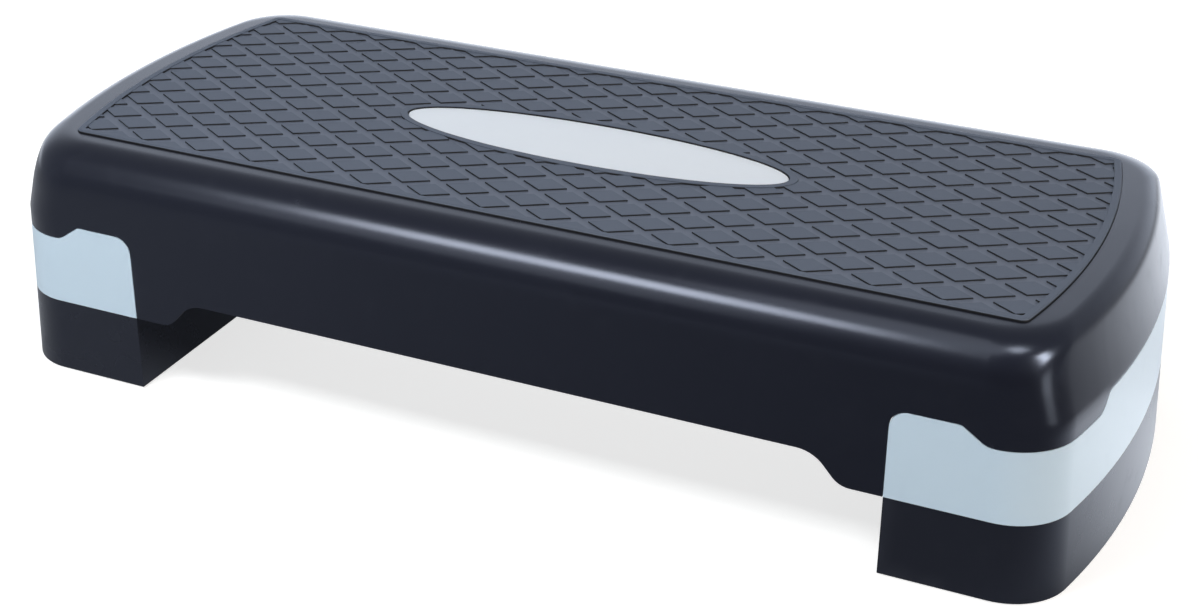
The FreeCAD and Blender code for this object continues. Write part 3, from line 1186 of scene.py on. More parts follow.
@dataclass(frozen=True)
class EndBlock:
    """Places that a collar and its riser share at the right end.

    Attributes:
        form: the step's form.
        rows: X of the two rows of screws and pegs.
        screw_y: screws off the middle line.
        foot_points: plan place of each foot.
        foot_radius: of a foot.
        foot_gap: foot to its pocket.
        foot_depth: depth of a foot's pocket.
        foot_core: radius of the hollow above a foot.
        peg_y: pegs off the middle line.
        peg_radius: of a peg.
        rib_thickness: of the ribs.
        bite: how far a rib runs into the wall that it joins.
    """

    form: StepForm
    rows: Plan
    screw_y: float
    foot_points: tuple[Plan, ...]
    foot_radius: float
    foot_gap: float = 0.2
    foot_depth: float = 3.0
    foot_core: float = 9.2
    peg_y: float = 68.0
    peg_radius: float = 8.0
    rib_thickness: float = 2.2
    bite: float = 1.5

    @classmethod
    def from_frame(cls, form: StepForm, screw_head_radius: float) -> "EndBlock":
        """Reads the places of screws and feet from the construction nodes.

        Args:
            form: the step's form.
            screw_head_radius: of a screw's head.

        Returns:
            The places at the right end.
        """
        low, high = box_mm("right_collar_screws")
        feet = [box_mm(name) for name in sorted(frame["nodes"]) if name.startswith("right_riser_foot")]
        return cls(
            form=form,
            rows=(low.x + screw_head_radius, high.x - screw_head_radius),
            screw_y=high.y - screw_head_radius,
            foot_points=tuple(((a.x + b.x) / 2, (a.y + b.y) / 2) for a, b in feet),
            foot_radius=(feet[0][1].x - feet[0][0].x) / 2,
        )

    def grid(self, y: float) -> list[Plan]:
        """Four places on the two rows, at a distance from the middle line."""
        return [(x, s * y) for x in self.rows for s in (-1, 1)]

    def behind(self, station: Station) -> Station:
        """The station of a point's back, which on the flat inner face is a wall inside it."""
        if station.run is Run.SIDE and station.place == self.form.inner_face:
            return replace(station, place=self.form.inner_face + self.form.wall)
        return station

    def foot_holes(self, face: float, roof: float) -> Shell:
        """Pockets for the feet in a downward face, each with the hollow core of its boss above.

        Args:
            face: height of the face.
            roof: top of the cores.

        Returns:
            The cutting shapes.
        """
        under, mouth = face - self.form.wall, face + self.foot_depth
        reach, core = self.foot_radius + self.foot_gap, self.foot_core
        profile = [(0, under), (reach, under), (reach, mouth), (core, mouth), (core, roof), (0, roof)]
        return lathe(self.foot_points, profile)

    def cross_rib(self, low: float, high: float) -> Shell:
        """Makes the rib across the middle of the block.

        Args:
            low: its lower edge.
            high: its upper edge.

        Returns:
            The rib.
        """
        x = sum(self.rows) / 2 - self.rib_thickness / 2
        y = self.form.reach_y(x, self.form.level(high, self.bite))
        outline = [(x, -y, low), (x, y, low), (x, y, high), (x, -y, high)]
        return slab(outline, (self.rib_thickness, 0.0, 0.0))

    def long_ribs(self, low: float, high: float) -> Shell:
        """Makes the ribs along the block, laid between its screws, pegs and feet.

        Args:
            low: their lower edge.
            high: their upper edge.

        Returns:
            The ribs.
        """
        foot_y = max(y for _, y in self.foot_points)
        places = [(self.screw_y + self.peg_y) / 2, (self.peg_y + foot_y) / 2]
        ribs = Shell()
        for middle in [-places[1], -places[0], 0.0] + places:
            y = middle - self.rib_thickness / 2
            near = self.form.inner_face + self.bite
            far = self.form.reach_x(abs(middle), self.form.level(high, self.bite))
            outline = [(near, y, low), (far, y, low), (far, y, high), (near, y, high)]
            ribs.add(slab(outline, (0.0, self.rib_thickness, 0.0)))
        return ribs


@dataclass(frozen=True)
class Tread:
    """Rubber tread: a sheet with a raised border and oval rim, diamond pads and headed stakes.

    Attributes:
        form: the step's form.
        plate: the plate in its window.
        bed: underside of the sheet.
        top: top of the border and of the oval rim.
        stake_low: lowest face of the stakes' heads.
        margin: flat of the deck left past the tread's ends and beside it.
        corner: plan corner.
        gap: tread to the wall of its bed.
        base: thickness of the sheet.
        frame_width: of the border.
        pad_relief: pads above the sheet.
        pad_pitch: pads' diagonals along X and Y, centre to centre.
        pad_share: pad's own diagonal as a share of the pitch.
        pad_soft: rounding of the pads' upper edges.
        pad_draft_share: how far a pad's walls lean in, as a share of their height.
        border_soft: rounding of the border's outer edge.
        edge_soft: rounding of the border's inner edge and of the rim's edges.
        rim_width: of the oval rim.
        bite: how far joined surfaces run into each other.
        stake_radius: of the stakes.
        stake_head: radius and height of a stake's head.
        stake_steps: faces round a stake.
        short_of_turn: last station on a side to the turn of the corner.
        steps: faces along half a side, round a corner and along half an end.
    """

    form: StepForm
    plate: "OvalPlate"
    bed: float
    top: float
    stake_low: float
    margin: Plan = (11.4, 7.0)
    corner: float = 5.0
    gap: float = 0.3
    base: float = 1.4
    frame_width: float = 4.5
    pad_relief: float = 0.95
    pad_pitch: Plan = (37.7, 23.2)
    pad_share: float = 0.73
    pad_soft: float = 0.15
    pad_draft_share: float = 0.1
    border_soft: float = 1.0
    edge_soft: float = 0.4
    rim_width: float = 5.0
    bite: float = 0.3
    stake_radius: float = 2.4
    stake_head: Plan = (4.0, 1.6)
    stake_steps: int = 20
    short_of_turn: float = 1.0
    steps: tuple[int, int, int] = (36, 6, 24)

    @classmethod
    def from_frame(cls, form: StepForm, plate: "OvalPlate") -> "Tread":
        """Reads the tread's heights from the construction nodes."""
        low, high = box_mm("tread_mat")
        return cls(form, plate, bed=plate.low, top=high.z, stake_low=low.z)

    @property
    def sheet_top(self) -> float:
        """Top of the sheet between the pads."""
        return self.bed + self.base

    def finish(self) -> MouldedRubber:
        """Matt rubber with a stippled skin: dark grey, paler where dust lies between the pads."""
        # Its real stipple of about 0.4 mm is too fine to show, so it is drawn at 0.9 mm.
        return MouldedRubber(
            name="dark_grey_rubber_moulded",
            slot="tread_rubber",
            colour="#414b5c",
            drift_colour="#475162",
            roughness=0.62,
            ior=1.52,
            drift_mm=80.0,
            grain_mm=0.9,
            grain_depth_mm=0.05,
            low_colour="#565f70",
            # Near-black pad walls: painted shade.
            shaded_wall_colour="#0c0d11",
            low_z=self.sheet_top,
            high_z=self.sheet_top + self.pad_relief,
        )

    def chain(self) -> list[Station]:
        """Stations round the right half of the tread."""
        side, corner, end = self.steps
        places = spread(0.0, self.form.straight - self.short_of_turn, side)
        return right_chain(places, corner, spread(1.0, 0.0, end)[1:-1])

    def level(self, inset: float, z: float) -> Level:
        """Draws the tread's outline in.

        Args:
            inset: how far it is drawn in.
            z: its height.

        Returns:
            The outline.
        """
        crest = self.form.level(self.form.deck_top)
        end, side = self.margin
        corner = max(self.corner - inset, self.edge_soft)
        return Level(z, crest.inset_end + end + inset, crest.inset_side + side + inset, corner)

    def outline(self, inset: float, z: float) -> Callable[[Station], Point]:
        """Gives the points of the tread's outline, drawn in by an inset, at a height."""
        level = self.level(inset, z)
        return lambda station: self.form.at(station, level)

    def oval(self, grow: float, z: float) -> Callable[[Station], Point]:
        """Gives the points of an oval round the plate.

        Args:
            grow: how far it is larger than the plate.
            z: its height.

        Returns:
            A function from a station to its point on the oval.
        """
        level = self.level(self.frame_width, z)
        tip = self.form.at(Station(Run.END, 0.0, 1, 0), level)[0]
        side = self.form.half_width - level.inset_side
        half_x, half_y = self.plate.half_length + grow, self.plate.half_width + grow

        def point(station: Station) -> Point:
            """The point on the oval in the same direction as the station's, seen from above."""
            x, y, _ = self.form.at(station, level)
            angle = math.atan2(y / side, x / tip)
            return half_x * math.cos(angle), half_y * math.sin(angle), z

        return point

    def sheet(self) -> Shell:
        """Makes the sheet with its border and its oval rim, as one ring-shaped profile run round.

        Returns:
            The sheet.
        """
        soft, outer = self.edge_soft, self.border_soft
        turned = soft * SOFT_SHARE
        across = [(0, self.bed)] + [
            (outer * (1 - math.cos(a)), self.top - outer * (1 - math.sin(a)))
            for a in spread(0.0, QUARTER, SOFT_STEPS)
        ]
        width = self.frame_width
        across += [(width - soft, self.top), (width - turned, self.top - turned)]
        across += [(width, self.top - soft), (width, self.sheet_top)]
        rows = [self.outline(inset, z) for inset, z in across]
        window, rim = self.plate.gap, self.plate.gap + self.rim_width
        across = [(rim, self.sheet_top), (rim, self.top - soft), (rim - turned, self.top - turned)]
        across += [(rim - soft, self.top), (window + soft, self.top)]
        across += [(window + turned, self.top - turned), (window, self.top - soft), (window, self.bed)]
        rows += [self.oval(grow, z) for grow, z in across]

        loop = whole_loop(self.chain())
        return bridged([[row(station) for station in loop] for row in rows], closed=True)

    def pad(self, x: float, y: float) -> Shell:
        """Makes one diamond pad with leaning walls and rounded upper edges, set into the sheet.

        Args:
            x: its middle.
            y: its middle.

        Returns:
            The pad.
        """
        half_x = self.pad_pitch[0] / 2 * self.pad_share
        half_y = self.pad_pitch[1] / 2 * self.pad_share
        inradius = half_x * half_y / math.hypot(half_x, half_y)
        height = self.pad_relief
        lean = height * self.pad_draft_share
        turned = self.pad_soft * SOFT_SHARE
        rings = [(-self.bite * self.pad_draft_share, -self.bite), (lean, height - self.pad_soft)]
        rings += [(lean + turned, height - turned), (lean + self.pad_soft, height)]
        corners = ((half_x, 0.0), (0.0, half_y), (-half_x, 0.0), (0.0, -half_y))
        rows = []
        for inset, rise in rings:
            size, z = 1 - inset / inradius, self.sheet_top + rise
            rows.append([(x + dx * size, y + dy * size, z) for dx, dy in corners])
        return bridged(rows)

    def pads(self) -> Shell:
        """Lays out the whole lattice of pads, past the tread's outline.

        Returns:
            The pads, in rows that lie evenly on both sides of the middle line.
        """
        step_x, step_y = self.pad_pitch[0] / 2, self.pad_pitch[1] / 2
        level = self.level(0.0, self.top)
        columns = math.ceil(self.form.reach_x(0.0, level) / step_x)
        rows = math.ceil((self.form.half_width - level.inset_side) / step_y)
        lattice = Shell()
        for i in range(-columns, columns + 1):
            for j in range(-rows - 1, rows + 1):
                if (i + j) % 2 == 0:
                    lattice.add(self.pad(i * step_x, (j + 0.5) * step_y))
        return lattice

    def pad_space(self) -> Shell:
        """Makes the space between the border and the oval rim that the pads keep to.

        Returns:
            The space, as a clipping shape.
        """
        ring = Sheet()
        loop = whole_loop(self.chain())
        low, high = self.bed, self.top + self.base
        inset, grow = self.frame_width - self.bite, self.plate.gap + self.rim_width - self.bite
        outer = ring.row("outer", loop, self.outline(inset, high), self.outline(inset, low))
        inner = ring.row("inner", loop, self.oval(grow, high), self.oval(grow, low))
        ring.strips((outer, inner), closed=True)
        return ring.shell()

    def stakes(self, places: Sequence[Plan]) -> Shell:
        """Makes the stakes through the deck, headed over below it.

        Args:
            places: plan place of each stake.

        Returns:
            The stakes.
        """
        radius, height = self.stake_head
        soft = self.edge_soft
        profile = [(0, self.stake_low), (radius - soft, self.stake_low), (radius, self.stake_low + soft)]
        profile += [(radius, self.stake_low + height), (self.stake_radius, self.stake_low + height)]
        profile += [(self.stake_radius, self.bed + self.base / 2), (0, self.bed + self.base / 2)]
        return lathe(places, profile, self.stake_steps)

    def build(self, stake_places: Sequence[Plan]) -> None:
        """Makes and dresses the tread.

        Args:
            stake_places: plan places of its stakes.
        """
        pads = Moulding("tread_pads", self.pads()).combine(Combine.KEEP, self.pad_space())
        clipped = Shell(
            [tuple(c / MM for c in v.co) for v in pads.piece.data.vertices],
            [tuple(p.vertices) for p in pads.piece.data.polygons],
        )
        pads.discard()
        tread = Moulding("tread", self.sheet()).combine(Combine.JOIN, clipped, self.stakes(stake_places))
        tread.dress(self.finish(), "deck", "tread_mat")


@dataclass(frozen=True)
class OvalPlate:
    """Bare oval plate in the tread's window, with pegs through the deck.

    Attributes:
        half_length: of the oval.
        half_width: of the oval.
        low: underside of the plate.
        high: top of its edge.
        peg_low: lowest face of the pegs.
        gap: plate to the oval rim.
        soft: rounding of the upper edge.
        crown: rise of the middle over the edge.
        crown_shares: places of the rings of faces on the crown, as shares of its reach.
        peg_radius: of the pegs.
        peg_reach_share: pegs keep within this share of the plate's length.
        peg_steps: faces round a peg.
        steps: faces round the oval.
    """

    half_length: float
    half_width: float
    low: float
    high: float
    peg_low: float
    gap: float = 0.4
    soft: float = 0.9
    crown: float = 0.2
    crown_shares: tuple[float, ...] = (0.9, 0.7, 0.45, 0.2)
    peg_radius: float = 2.4
    peg_reach_share: float = 0.8
    peg_steps: int = 20
    steps: int = 160

    @classmethod
    def from_frame(cls, thickness: float = 2.0) -> "OvalPlate":
        """Reads the plate's sizes from the construction node."""
        low, high = box_mm("oval_plate")
        return cls(high.x, high.y, high.z - thickness, high.z, low.z)

    def top(self) -> Shell:
        """Makes the oval with a rounded upper edge and a faint crown.

        Returns:
            The oval.
        """
        rings = [(0.0, self.low), (0.0, self.high - self.soft)]
        rings += [
            (self.soft * (1 - math.cos(a)), self.high - self.soft * (1 - math.sin(a)))
            for a in spread(0.0, QUARTER, SOFT_STEPS)[1:]
        ]
        sizes = [(self.half_length - inset, self.half_width - inset, z) for inset, z in rings]
        flat_x, flat_y, _ = sizes[-1]
        for share in self.crown_shares:
            sizes.append((flat_x * share, flat_y * share, self.high + self.crown * (1 - share ** 2)))
        angles = [2 * math.pi * i / self.steps for i in range(self.steps)]
        return bridged([[(a * math.cos(t), b * math.sin(t), z) for t in angles] for a, b, z in sizes])

    def build(self, rib_cells: Sequence[float]) -> None:
        """Makes and dresses the plate, with a peg in each rib cell under its middle.

        Args:
            rib_cells: X of the cells' middles.
        """
        reach, middle = self.half_length * self.peg_reach_share, (self.low + self.high) / 2
        places = [(x, 0.0) for x in rib_cells if abs(x) < reach]
        pegs = rods(places, self.peg_radius, self.peg_low, middle, self.peg_steps)
        plate = Moulding("oval_top_plate", self.top()).combine(Combine.JOIN, pegs)
        plate.dress(PLATE_PLASTIC, "deck", "oval_plate")


@dataclass(frozen=True)
class Deck:
    """Deck: rounded shell with a lobed skirt, ribs, screw columns and the tread's bed.

    Attributes:
        form: the step's form.
        edge: the collars' upper edge, which the skirt follows.
        tread: the tread in its bed.
        block: places of the screws.
        seam: gap between the skirt and the collars' bands.
        lobe_length: level edge of the lobe, from the end block.
        lobe_sweep: sweep from the lobe up to the middle of the skirt.
        soft: rounding of the cut edges.
        rib_depth: ribs below the plate.
        rib_cell: widest space between cross ribs.
        slope_shares: places of the rows of faces on the slope, as shares of its height.
        column_radius: of the screw columns.
        column_low: lower face of the columns.
        column_steps: faces round a column.
        pilot: radius and depth of the screws' holes.
        edge_steps: faces along half the skirt's middle, a lobe's sweep and a lobe's level edge.
        skin_rows: rows of faces up the skirt, the band over it and the rounding.
        rib_rows: rows of faces up the rounded end of a rib.
    """

    form: StepForm
    edge: CollarEdge
    tread: Tread
    block: EndBlock
    seam: float = 0.4
    lobe_length: float = 18.0
    lobe_sweep: Sweep = Sweep(30.6, 17.4, 13.3, 20.5)
    soft: float = 0.8
    rib_depth: float = 46.0
    rib_cell: float = 60.0
    slope_shares: tuple[float, ...] = (0.2, 0.6, 1.0)
    column_radius: float = 6.0
    column_low: float = 57.0
    column_steps: int = 28
    pilot: Plan = (2.05, 18.0)
    edge_steps: tuple[int, int, int] = (8, 10, 3)
    skin_rows: tuple[int, int, int] = (6, 2, 18)
    rib_rows: int = 12

    @property
    def rib_low(self) -> float:
        """Lower edge of the ribs."""
        return self.form.deck_top - self.form.deck_plate - self.rib_depth

    def rib_places(self) -> tuple[list[float], list[float]]:
        """Lays out the cross ribs.

        Returns:
            X of the ribs, and of the middles of the cells between the inner ones.
        """
        row_in, row_out = self.block.rows
        cells = math.ceil(2 * row_in / self.rib_cell)
        inner = spread(-row_in, row_in, cells)
        middles = [(a + b) / 2 for a, b in zip(inner, inner[1:])]
        return [-row_out] + inner + [row_out], middles

    def long_rib_y(self) -> float:
        """Outer long ribs off the middle line."""
        return (self.block.screw_y + self.form.half_width) / 2

    def stake_places(self) -> list[Plan]:
        """Lays out the tread's stakes.

        Returns:
            Plan place of each stake, in the middle of a rib cell.
        """
        end = sum(self.block.rows) / 2
        y = (self.block.screw_y + self.long_rib_y()) / 2
        return [(x, s * y) for x in self.rib_places()[1] + [-end, end] for s in (-1, 1)]

    def skirt_edge(self, x: float) -> float:
        """Height of the skirt's lower edge between the end blocks."""
        past = self.form.inner_face - self.lobe_length - abs(x)
        return self.form.lobe_low + self.lobe_sweep.height(past)

    def skin(self) -> Shell:
        """Makes the shell's wall, from the skirt's lower edge over the rounding to the tread's bed.

        Returns:
            The wall.
        """
        form, edge = self.form, self.edge
        face = form.inner_face - self.seam
        lobe = form.inner_face - self.lobe_length
        start = lobe - self.lobe_sweep.run
        middle_steps, sweep_steps, lobe_steps = self.edge_steps
        skirt_rows, band_rows, round_rows = self.skin_rows
        middle = spread(0.0, start, middle_steps)[:-1]
        middle += [lobe - p for p in reversed(self.lobe_sweep.places(sweep_steps))]
        middle += spread(lobe, face, lobe_steps)[1:-1]
        chain = right_chain(middle + edge.side_places(self.seam), CORNER_STEPS, edge.end_places())
        loop = whole_loop(chain)
        split = edge.corner_low()
        sheet = Sheet()

        def band_low(station: Station) -> float:
            """Lower end of the skin above the split height."""
            if station.run is Run.SIDE and abs(station.place) <= face:
                return split
            return edge.height(station, self.seam)

        def skirt_height(station: Station, share: float) -> float:
            """Height on the skirt, at a share of the way from its edge to the split height."""
            low = self.skirt_edge(station.place)
            return low + (split - low) * share

        def wall_row(
            name: Hashable, stations: Sequence[Station], height: Callable[[Station], float]
        ) -> list[int]:
            """Adds a row of the skirt or of the sloping ends."""
            return sheet.row(
                name, stations,
                lambda s: form.at(s, form.level(height(s))),
                lambda s: form.at(s, form.level(height(s), form.wall, form.deck_plate)),
            )

        rows = [
            wall_row(("band", share), loop, lambda s: band_low(s) + (form.slope_foot - band_low(s)) * share)
            for share in spread(0.0, 1.0, band_rows)
        ]
        for share in self.slope_shares:
            z = form.slope_foot + (form.round_start - form.slope_foot) * share
            rows.append(wall_row(("slope", share), loop, lambda s: z))
        for share in spread(0.0, 1.0, round_rows)[1:]:
            rows.append(sheet.row(
                ("round", share), loop,
                lambda s: form.at(s, form.round_level(share)),
                lambda s: form.at(s, form.round_level(share, form.wall, form.deck_plate)),
            ))
        ceiling, outline, gap = form.deck_top - form.deck_plate, self.tread.outline, self.tread.gap
        rows.append(sheet.row("ledge", loop, outline(-gap, form.deck_top), outline(-2 * gap, ceiling)))
        rows.append(sheet.row("bed", loop, outline(-gap, self.tread.bed), outline(-gap, ceiling)))
        sheet.strips(rows, closed=True)
        for sy in (-1, 1):
            side = [s for s in loop if s.run is Run.SIDE and s.sy == sy and abs(s.place) <= face]
            side.sort(key=lambda s: -sy * s.place)
            skirt = [
                wall_row(("skirt", share), side, lambda s: skirt_height(s, share))
                for share in spread(0.0, 1.0, skirt_rows)[:-1]
            ]
            skirt.append(wall_row(("band", 0.0), side, band_low))
            sheet.strips(skirt)
        sheet.cap(whole_front(chain), "bed", upward=True)
        return sheet.shell()

    def rib_levels(self) -> list[Level]:
        """Gives the outlines that the ends of the ribs follow.

        Returns:
            The outlines from the lowest up, a bite into the shell's wall.
        """
        form, bite = self.form, self.block.bite
        plate = form.deck_plate - bite
        levels = [form.level(z, bite, plate) for z in (self.rib_low, form.slope_foot)]
        shares = spread(0.0, 1.0, self.rib_rows)
        return levels + [form.round_level(share, bite, plate) for share in shares]

    def cross_ribs(self) -> Shell:
        """Makes the ribs across the deck.

        Returns:
            The ribs.
        """
        thickness = self.block.rib_thickness
        ribs = Shell()
        for middle in self.rib_places()[0]:
            reach = [(self.form.reach_y(middle, level), level.z) for level in self.rib_levels()]
            reach = [(y, z) for y, z in reach if y > thickness]
            x = middle - thickness / 2
            outline = [(x, y, z) for y, z in reach] + [(x, -y, z) for y, z in reversed(reach)]
            ribs.add(slab(outline, (thickness, 0.0, 0.0)))
        return ribs

    def long_ribs(self) -> Shell:
        """Makes the ribs along the deck.

        Returns:
            The ribs.
        """
        thickness = self.block.rib_thickness
        ribs = Shell()
        for middle in (self.block.screw_y, self.long_rib_y()):
            reach = [(self.form.reach_x(middle, level), level.z) for level in self.rib_levels()]
            for s in (-1, 1):
                y = s * middle - thickness / 2
                outline = [(x, y, z) for x, z in reach] + [(-x, y, z) for x, z in reversed(reach)]
                ribs.add(slab(outline, (0.0, thickness, 0.0)))
        return ribs

    def columns(self) -> Shell:
        """Makes the hollow columns that take the collars' screws.

        Returns:
            The columns.
        """
        top = self.form.deck_top - self.form.deck_plate + self.block.bite
        radius, depth = self.pilot
        low, hole_top = self.column_low, self.column_low + depth
        profile = [(0, hole_top), (radius, hole_top), (radius, low), (self.column_radius, low)]
        profile += [(self.column_radius, top), (0, top)]
        places = [(s * x, y) for x, y in self.block.grid(self.block.screw_y) for s in (-1, 1)]
        return lathe(places, profile, self.column_steps)

    def build(self) -> None:
        """Makes and dresses the deck."""
        deck = Moulding("deck", self.skin()).soften(self.soft)
        deck.combine(Combine.JOIN, self.cross_ribs(), self.long_ribs(), self.columns())
        deck.dress(DECK_PLASTIC, "deck", "deck_shell")


@dataclass(frozen=True)
class Collar:
    """Collar: grey band with tabs, closed below by a ribbed web with sockets and screw seats.

    Attributes:
        form: the step's form.
        edge: upper edge of the band.
        block: places of screws, pegs and feet.
        rib_top: top of the ribs and of the inner wall.
        soft: rounding of the band's edges.
        socket: radius, wall and height of a peg's socket.
        pocket: radius and depth of a screw head's pocket.
        seat: radius and height of a screw's seat.
        screw_hole: radius of the hole for the shank.
        boss: wall and height of a foot's boss.
        wall_rows: rows of faces up the inner wall.
    """

    form: StepForm
    edge: CollarEdge
    block: EndBlock
    rib_top: float = 88.0
    soft: float = 0.8
    socket: Point = (8.35, 2.6, 24.0)
    pocket: Plan = (4.6, 5.0)
    seat: Plan = (7.6, 9.0)
    screw_hole: float = 2.6
    boss: Plan = (2.2, 13.0)
    wall_rows: int = 4

    def tray(self) -> Shell:
        """Makes the band, the web below it and the flat inner wall, as one wall of even thickness.

        Returns:
            The wall.
        """
        form, edge = self.form, self.edge
        low = form.lobe_low
        chain = right_chain(edge.side_places(0.0), CORNER_STEPS, edge.end_places())
        wall_share = (self.rib_top - low) / (edge.corner_low() - low)

        def height(station: Station, share: float) -> float:
            """Height on the band, at a share of the way from the web to its upper edge."""
            return low + (edge.height(station, 0.0) - low) * share

        sheet = Sheet()
        rows = []
        for share in spread(0.0, wall_share, self.wall_rows) + [1.0]:
            lift = 0.0 if share else form.wall
            rows.append(sheet.row(
                share, chain,
                lambda s: form.at(s, form.level(height(s, share))),
                lambda s: form.at(self.block.behind(s), form.level(height(s, share) + lift, form.wall)),
            ))
        sheet.strips(rows)
        sheet.cap(front_half(chain), 0.0, upward=False)
        for below, above in zip(rows, rows[1:-1]):
            sheet.faces.append((below[0], above[0], above[-1], below[-1]))
        return sheet.shell()

    def bosses(self) -> Shell:
        """Makes the sockets, seats and bosses, solid before their holes are cut.

        Returns:
            The solid shapes.
        """
        block, low = self.block, self.form.lobe_low
        start = low + self.form.wall / 2
        radius, wall, height = self.socket
        solid = rods(block.grid(block.peg_y), radius + wall, start, low + height)
        solid.add(rods(block.grid(block.screw_y), self.seat[0], start, low + self.seat[1]))
        solid.add(rods(block.foot_points, block.foot_radius + self.boss[0], start, low + self.boss[1]))
        return solid

    def holes(self) -> Shell:
        """Makes the holes for pegs, screws and feet, through the web and what stands on it.

        Returns:
            The cutting shapes.
        """
        block, low = self.block, self.form.lobe_low
        under, over = low - self.form.wall, self.edge.high
        holes = block.foot_holes(low, over)
        holes.add(rods(block.grid(block.peg_y), self.socket[0], under, over))
        (radius, depth), shank = self.pocket, self.screw_hole
        profile = [(0, under), (radius, under), (radius, low + depth), (shank, low + depth)]
        holes.add(lathe(block.grid(block.screw_y), profile + [(shank, over), (0, over)]))
        return holes

    def build(self) -> None:
        """Makes and dresses both collars."""
        start = self.form.lobe_low + self.form.wall / 2
        right = Moulding("right_collar_band", self.tray()).soften(self.soft)
        ribs = self.block.cross_rib(start, self.rib_top), self.block.long_ribs(start, self.rib_top - APART)
        right.combine(Combine.JOIN, *ribs, self.bosses()).combine(Combine.CUT, self.holes())
        left = right.mirrored("left_collar_band")
        right.dress(COLLAR_PLASTIC, "deck", "right_collar")
        left.dress(COLLAR_PLASTIC, "deck", "left_collar")


@dataclass(frozen=True)
class Riser:
    """Riser: block open below, with ribs, foot bosses and four hollow pegs on top.

    Attributes:
        form: the step's form.
        edge: upper edge of the collar, whose stations the riser shares.
        block: places of pegs and feet.
        rim: lower edge.
        peg_top: tips of the pegs.
        soft: rounding of the edges.
        rib_low: lower edge of the ribs.
        peg_lead: tapered tip of a peg.
        peg_wall: wall and tip of a hollow peg.
        boss_wall: round a foot's pocket.
        top_pocket: radius beyond the foot, and depth, of the pocket for a collar's foot.
        steps: faces along a side, along half the end and up the wall.
    """

    form: StepForm
    edge: CollarEdge
    block: EndBlock
    rim: float
    peg_top: float
    soft: float = 0.9
    rib_low: float = 4.0
    peg_lead: float = 1.5
    peg_wall: float = 2.4
    boss_wall: float = 2.2
    top_pocket: Plan = (0.5, 1.5)
    steps: tuple[int, int, int] = (6, 14, 4)

    @classmethod
    def from_frame(cls, form: StepForm, edge: CollarEdge, block: EndBlock) -> "Riser":
        """Reads the riser's heights from the construction node.

        Args:
            form: the step's form.
            edge: the collars' upper edge.
            block: places of pegs and feet.

        Returns:
            The right riser.
        """
        low, high = box_mm("right_riser")
        return cls(form, edge, block, rim=low.z, peg_top=high.z)

    def tray(self) -> Shell:
        """Makes the walls and the top plate, as one wall of even thickness that is open below.

        Returns:
            The wall.
        """
        form = self.form
        side, end, up = self.steps
        places = spread(form.inner_face, form.straight - self.edge.short_of_turn, side)
        chain = right_chain(places, CORNER_STEPS, spread(1.0, 0.0, end)[1:-1])
        sheet = Sheet()
        heights = spread(self.rim, form.lobe_low, up)
        rows = []
        for z in heights:
            drop = form.wall if z == heights[-1] else 0.0
            rows.append(sheet.row(
                z, chain,
                lambda s: form.at(s, form.level(z)),
                lambda s: form.at(self.block.behind(s), form.level(z - drop, form.wall)),
            ))
        sheet.strips(rows, closed=True)
        sheet.cap(front_half(chain), heights[-1], upward=True)
        return sheet.shell()

    def bosses(self) -> Shell:
        """Makes the foot bosses and the pegs, solid before their holes are cut.

        Returns:
            The solid shapes.
        """
        block, inside = self.block, self.form.lobe_low - self.form.wall / 2
        solid = rods(block.foot_points, block.foot_radius + self.boss_wall, self.rim, inside)
        radius, tip = block.peg_radius, self.peg_top
        profile = [(0, inside), (radius, inside), (radius, tip - self.peg_lead)]
        profile += [(radius - self.peg_lead, tip), (0, tip)]
        solid.add(lathe(block.grid(block.peg_y), profile))
        return solid

    def holes(self) -> Shell:
        """Makes the pegs' hollows, and pockets for the feet below and for the collar's feet above.

        Returns:
            The cutting shapes.
        """
        block, top = self.block, self.form.lobe_low
        holes = block.foot_holes(self.rim, top - self.form.wall)
        under, tip = self.rim - self.form.wall, self.peg_top - self.peg_lead - self.peg_wall
        holes.add(rods(block.grid(block.peg_y), block.peg_radius - self.peg_wall, under, tip))
        grow, depth = self.top_pocket
        holes.add(rods(block.foot_points, block.foot_radius + grow, top - depth, top + depth))
        return holes

    def build(self) -> None:
        """Makes and dresses both risers."""
        top = self.form.lobe_low - self.form.wall / 2
        right = Moulding("right_riser_block", self.tray()).soften(self.soft)
        low, block = self.rib_low, self.block
        ribs = block.cross_rib(low, top), block.long_ribs(low + APART, top - APART)
        right.combine(Combine.JOIN, *ribs, self.bosses()).combine(Combine.CUT, self.holes())
        left = right.mirrored("left_riser_block")
        right.dress(RISER_PLASTIC, "right_riser", "right_riser")
        left.dress(RISER_PLASTIC, "left_riser", "left_riser")


